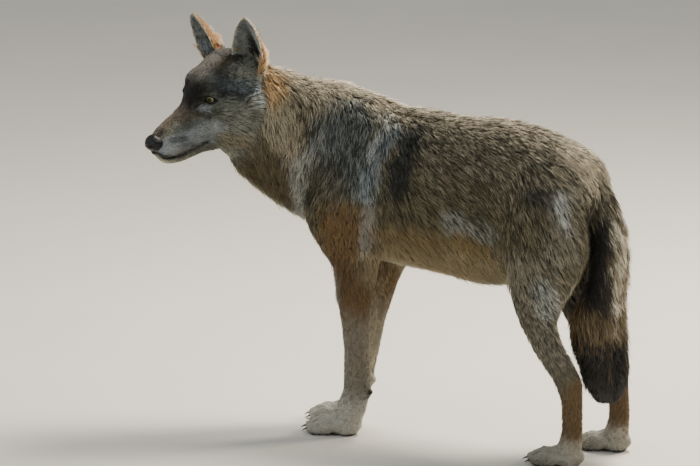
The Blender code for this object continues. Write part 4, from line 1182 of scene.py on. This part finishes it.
# roots on the upper lip and over the eye in centimetres in the head's frame, length in millimetres, hang
whiskerRoots = [
    (-12.9, -2.2, -4.3, 34, 0.25), (-12.2, -2.3, -5.0, 42, 0.30), (-11.3, -2.5, -4.4, 50, 0.25),
    (-10.8, -2.6, -5.3, 56, 0.30), (-10.0, -2.7, -4.7, 62, 0.25), (-9.4, -2.8, -5.7, 64, 0.32),
    (-8.6, -2.9, -5.0, 66, 0.28), (-11.9, -2.3, -6.0, 36, 0.35), (-10.4, -2.6, -6.3, 44, 0.35),
    (-1.2, -3.2, 3.0, 40, -0.35), (-0.2, -3.6, 3.1, 36, -0.35),
]
whisker = addObject("whisker", bpy.ops.mesh.primitive_circle_add, vertices=4, radius=whiskerForm["thick"] / 2,
                    fill_type="NGON")
bpy.ops.object.mode_set(mode="EDIT")
bpy.ops.mesh.select_all(action="SELECT")
for _ in range(whiskerForm["joints"]):
    bpy.ops.mesh.extrude_region_move(TRANSFORM_OT_translate={"value": (0, 0, 1 / whiskerForm["joints"])})
    bpy.ops.transform.resize(value=(whiskerForm["taper"], whiskerForm["taper"], 1), center_override=(0, 0, 0))
bpy.ops.mesh.select_all(action="SELECT")
bpy.ops.mesh.normals_make_consistent(inside=False)
bpy.ops.object.mode_set(mode="OBJECT")
straight = meshPoints(whisker.data)
whiskers = []
for x, y, z, length, hang in whiskerRoots:
    for sign in (1, -1):
        spot, out = onSkin([fromHead(np.array([x, sign * y, z]) / 100)])
        lead = unit(out[0] + headAxes @ np.array([whiskerForm["lean"], 0, 0]) - np.array([0, 0, 0.3 * hang]))
        side = unit(np.cross(lead, [0.1, 0.2, 1.0]))
        bow = headAxes @ np.array([whiskerForm["curve"], 0, 0]) - np.array([0, 0, hang])
        line = spot[0] + straight[:, :1] * side + straight[:, 1:2] * np.cross(lead, side)
        line = line + straight[:, 2:] * lead * (length / 1000) + (straight[:, 2:] ** 2) * (length / 1000) * bow
        one = bpy.data.objects.new("whisker", whisker.data.copy())
        scene.collection.objects.link(one)
        setPoints(one.data, line)
        whiskers.append(one)
bpy.data.objects.remove(whisker)
pickOnly(*whiskers)
bpy.ops.object.join()
whiskers = bpy.context.object
whiskers.name = "whiskers"
# whiskers: stiff smooth keratin, nearly black, worn paler in bands about 8 mm long
bristle = mottledMaterial("blackWhiskerKeratin", {"Roughness": 0.35}, 120.0, 1.0, "#0b0a09", "#2d2925")
setMaterial(whiskers.data, bristle)
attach(whiskers, "root")
say("nose and whiskers set")

# claws
clawNodes = sorted(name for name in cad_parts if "claw" in name)
claws = joinNodes("claws", clawNodes)
applyModifier(claws, "SUBSURF", levels=1, render_levels=1)
smoothFaces(claws.data)
# keratin claws: dark horn, worn paler in patches of 2.5 mm
setMaterial(claws.data, mottledMaterial("darkClawHorn", {"Roughness": 0.42}, 400.0, 2.0, "#17130f", "#4a4038"))
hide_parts(*clawNodes)
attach(claws, "root")
say("claws made")


# floor, light and camera
studio = {"aim": (-0.0931, -0.0246, 0.4445), "azimuth": 28.0, "elevation": 12.0, "distance": 9.0, "lens": 222.17,
          "sky": ("#f4f4f2", 0.55)}

floor = addObject("floor", bpy.ops.mesh.primitive_plane_add, size=60, location=(0, 0, 0))
# matt painted studio floor with faint mottling
paint = mottledMaterial("paleStudioPaint", {"Roughness": 0.9, "Specular IOR Level": 0.2}, 2.0, 3.0,
                        "#d2d0c9", "#dbd9d2")
setMaterial(floor.data, paint)
floor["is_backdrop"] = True

scene.world = bpy.data.worlds.new("studio")
scene.world.use_nodes = True
background = scene.world.node_tree.nodes["Background"]
background.inputs["Color"].default_value = toLinear(studio["sky"][0]) + [1]
background.inputs["Strength"].default_value = studio["sky"][1]


def addPanel(name, place, target, size, power, colour):
    panel = addObject(name, bpy.ops.object.light_add, type="AREA", location=place)
    panel.data.shape = "SQUARE"
    panel.data.size = size
    panel.data.energy = power
    panel.data.color = toLinear(colour)
    panel.rotation_euler = (Vector(target) - Vector(place)).to_track_quat("-Z", "Y").to_euler()


addPanel("topPanel", (0.5, 1.3, 3.2), (0, 0.1, 0.5), 1.2, 230, "#fff4e4")
addPanel("rearPanel", (2.5, 2.5, 2.0), (0.2, 0, 0.55), 0.9, 115, "#fff1dc")
addPanel("frontPanel", (-1.8, -3.4, 2.2), (0, 0, 0.45), 2.4, 48, "#ffffff")

angle, rise = math.radians(studio["azimuth"]), math.radians(studio["elevation"])
back = Vector((math.sin(angle) * math.cos(rise), -math.cos(angle) * math.cos(rise), math.sin(rise)))
bpy.ops.object.camera_add(location=Vector(studio["aim"]) + back * studio["distance"],
                          rotation=(-back).to_track_quat("-Z", "Y").to_euler())
camera = bpy.context.object
camera.data.lens = studio["lens"]
camera.data.sensor_width = 36.0
camera.data.clip_end = 100.0
scene.camera = camera

low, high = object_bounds()
under, over = [[round(1000 * v, 1) for v in gap] for gap in (cadLow - low, high - cadHigh)]
say(f"done, over the solids by {under} and {over} mm")
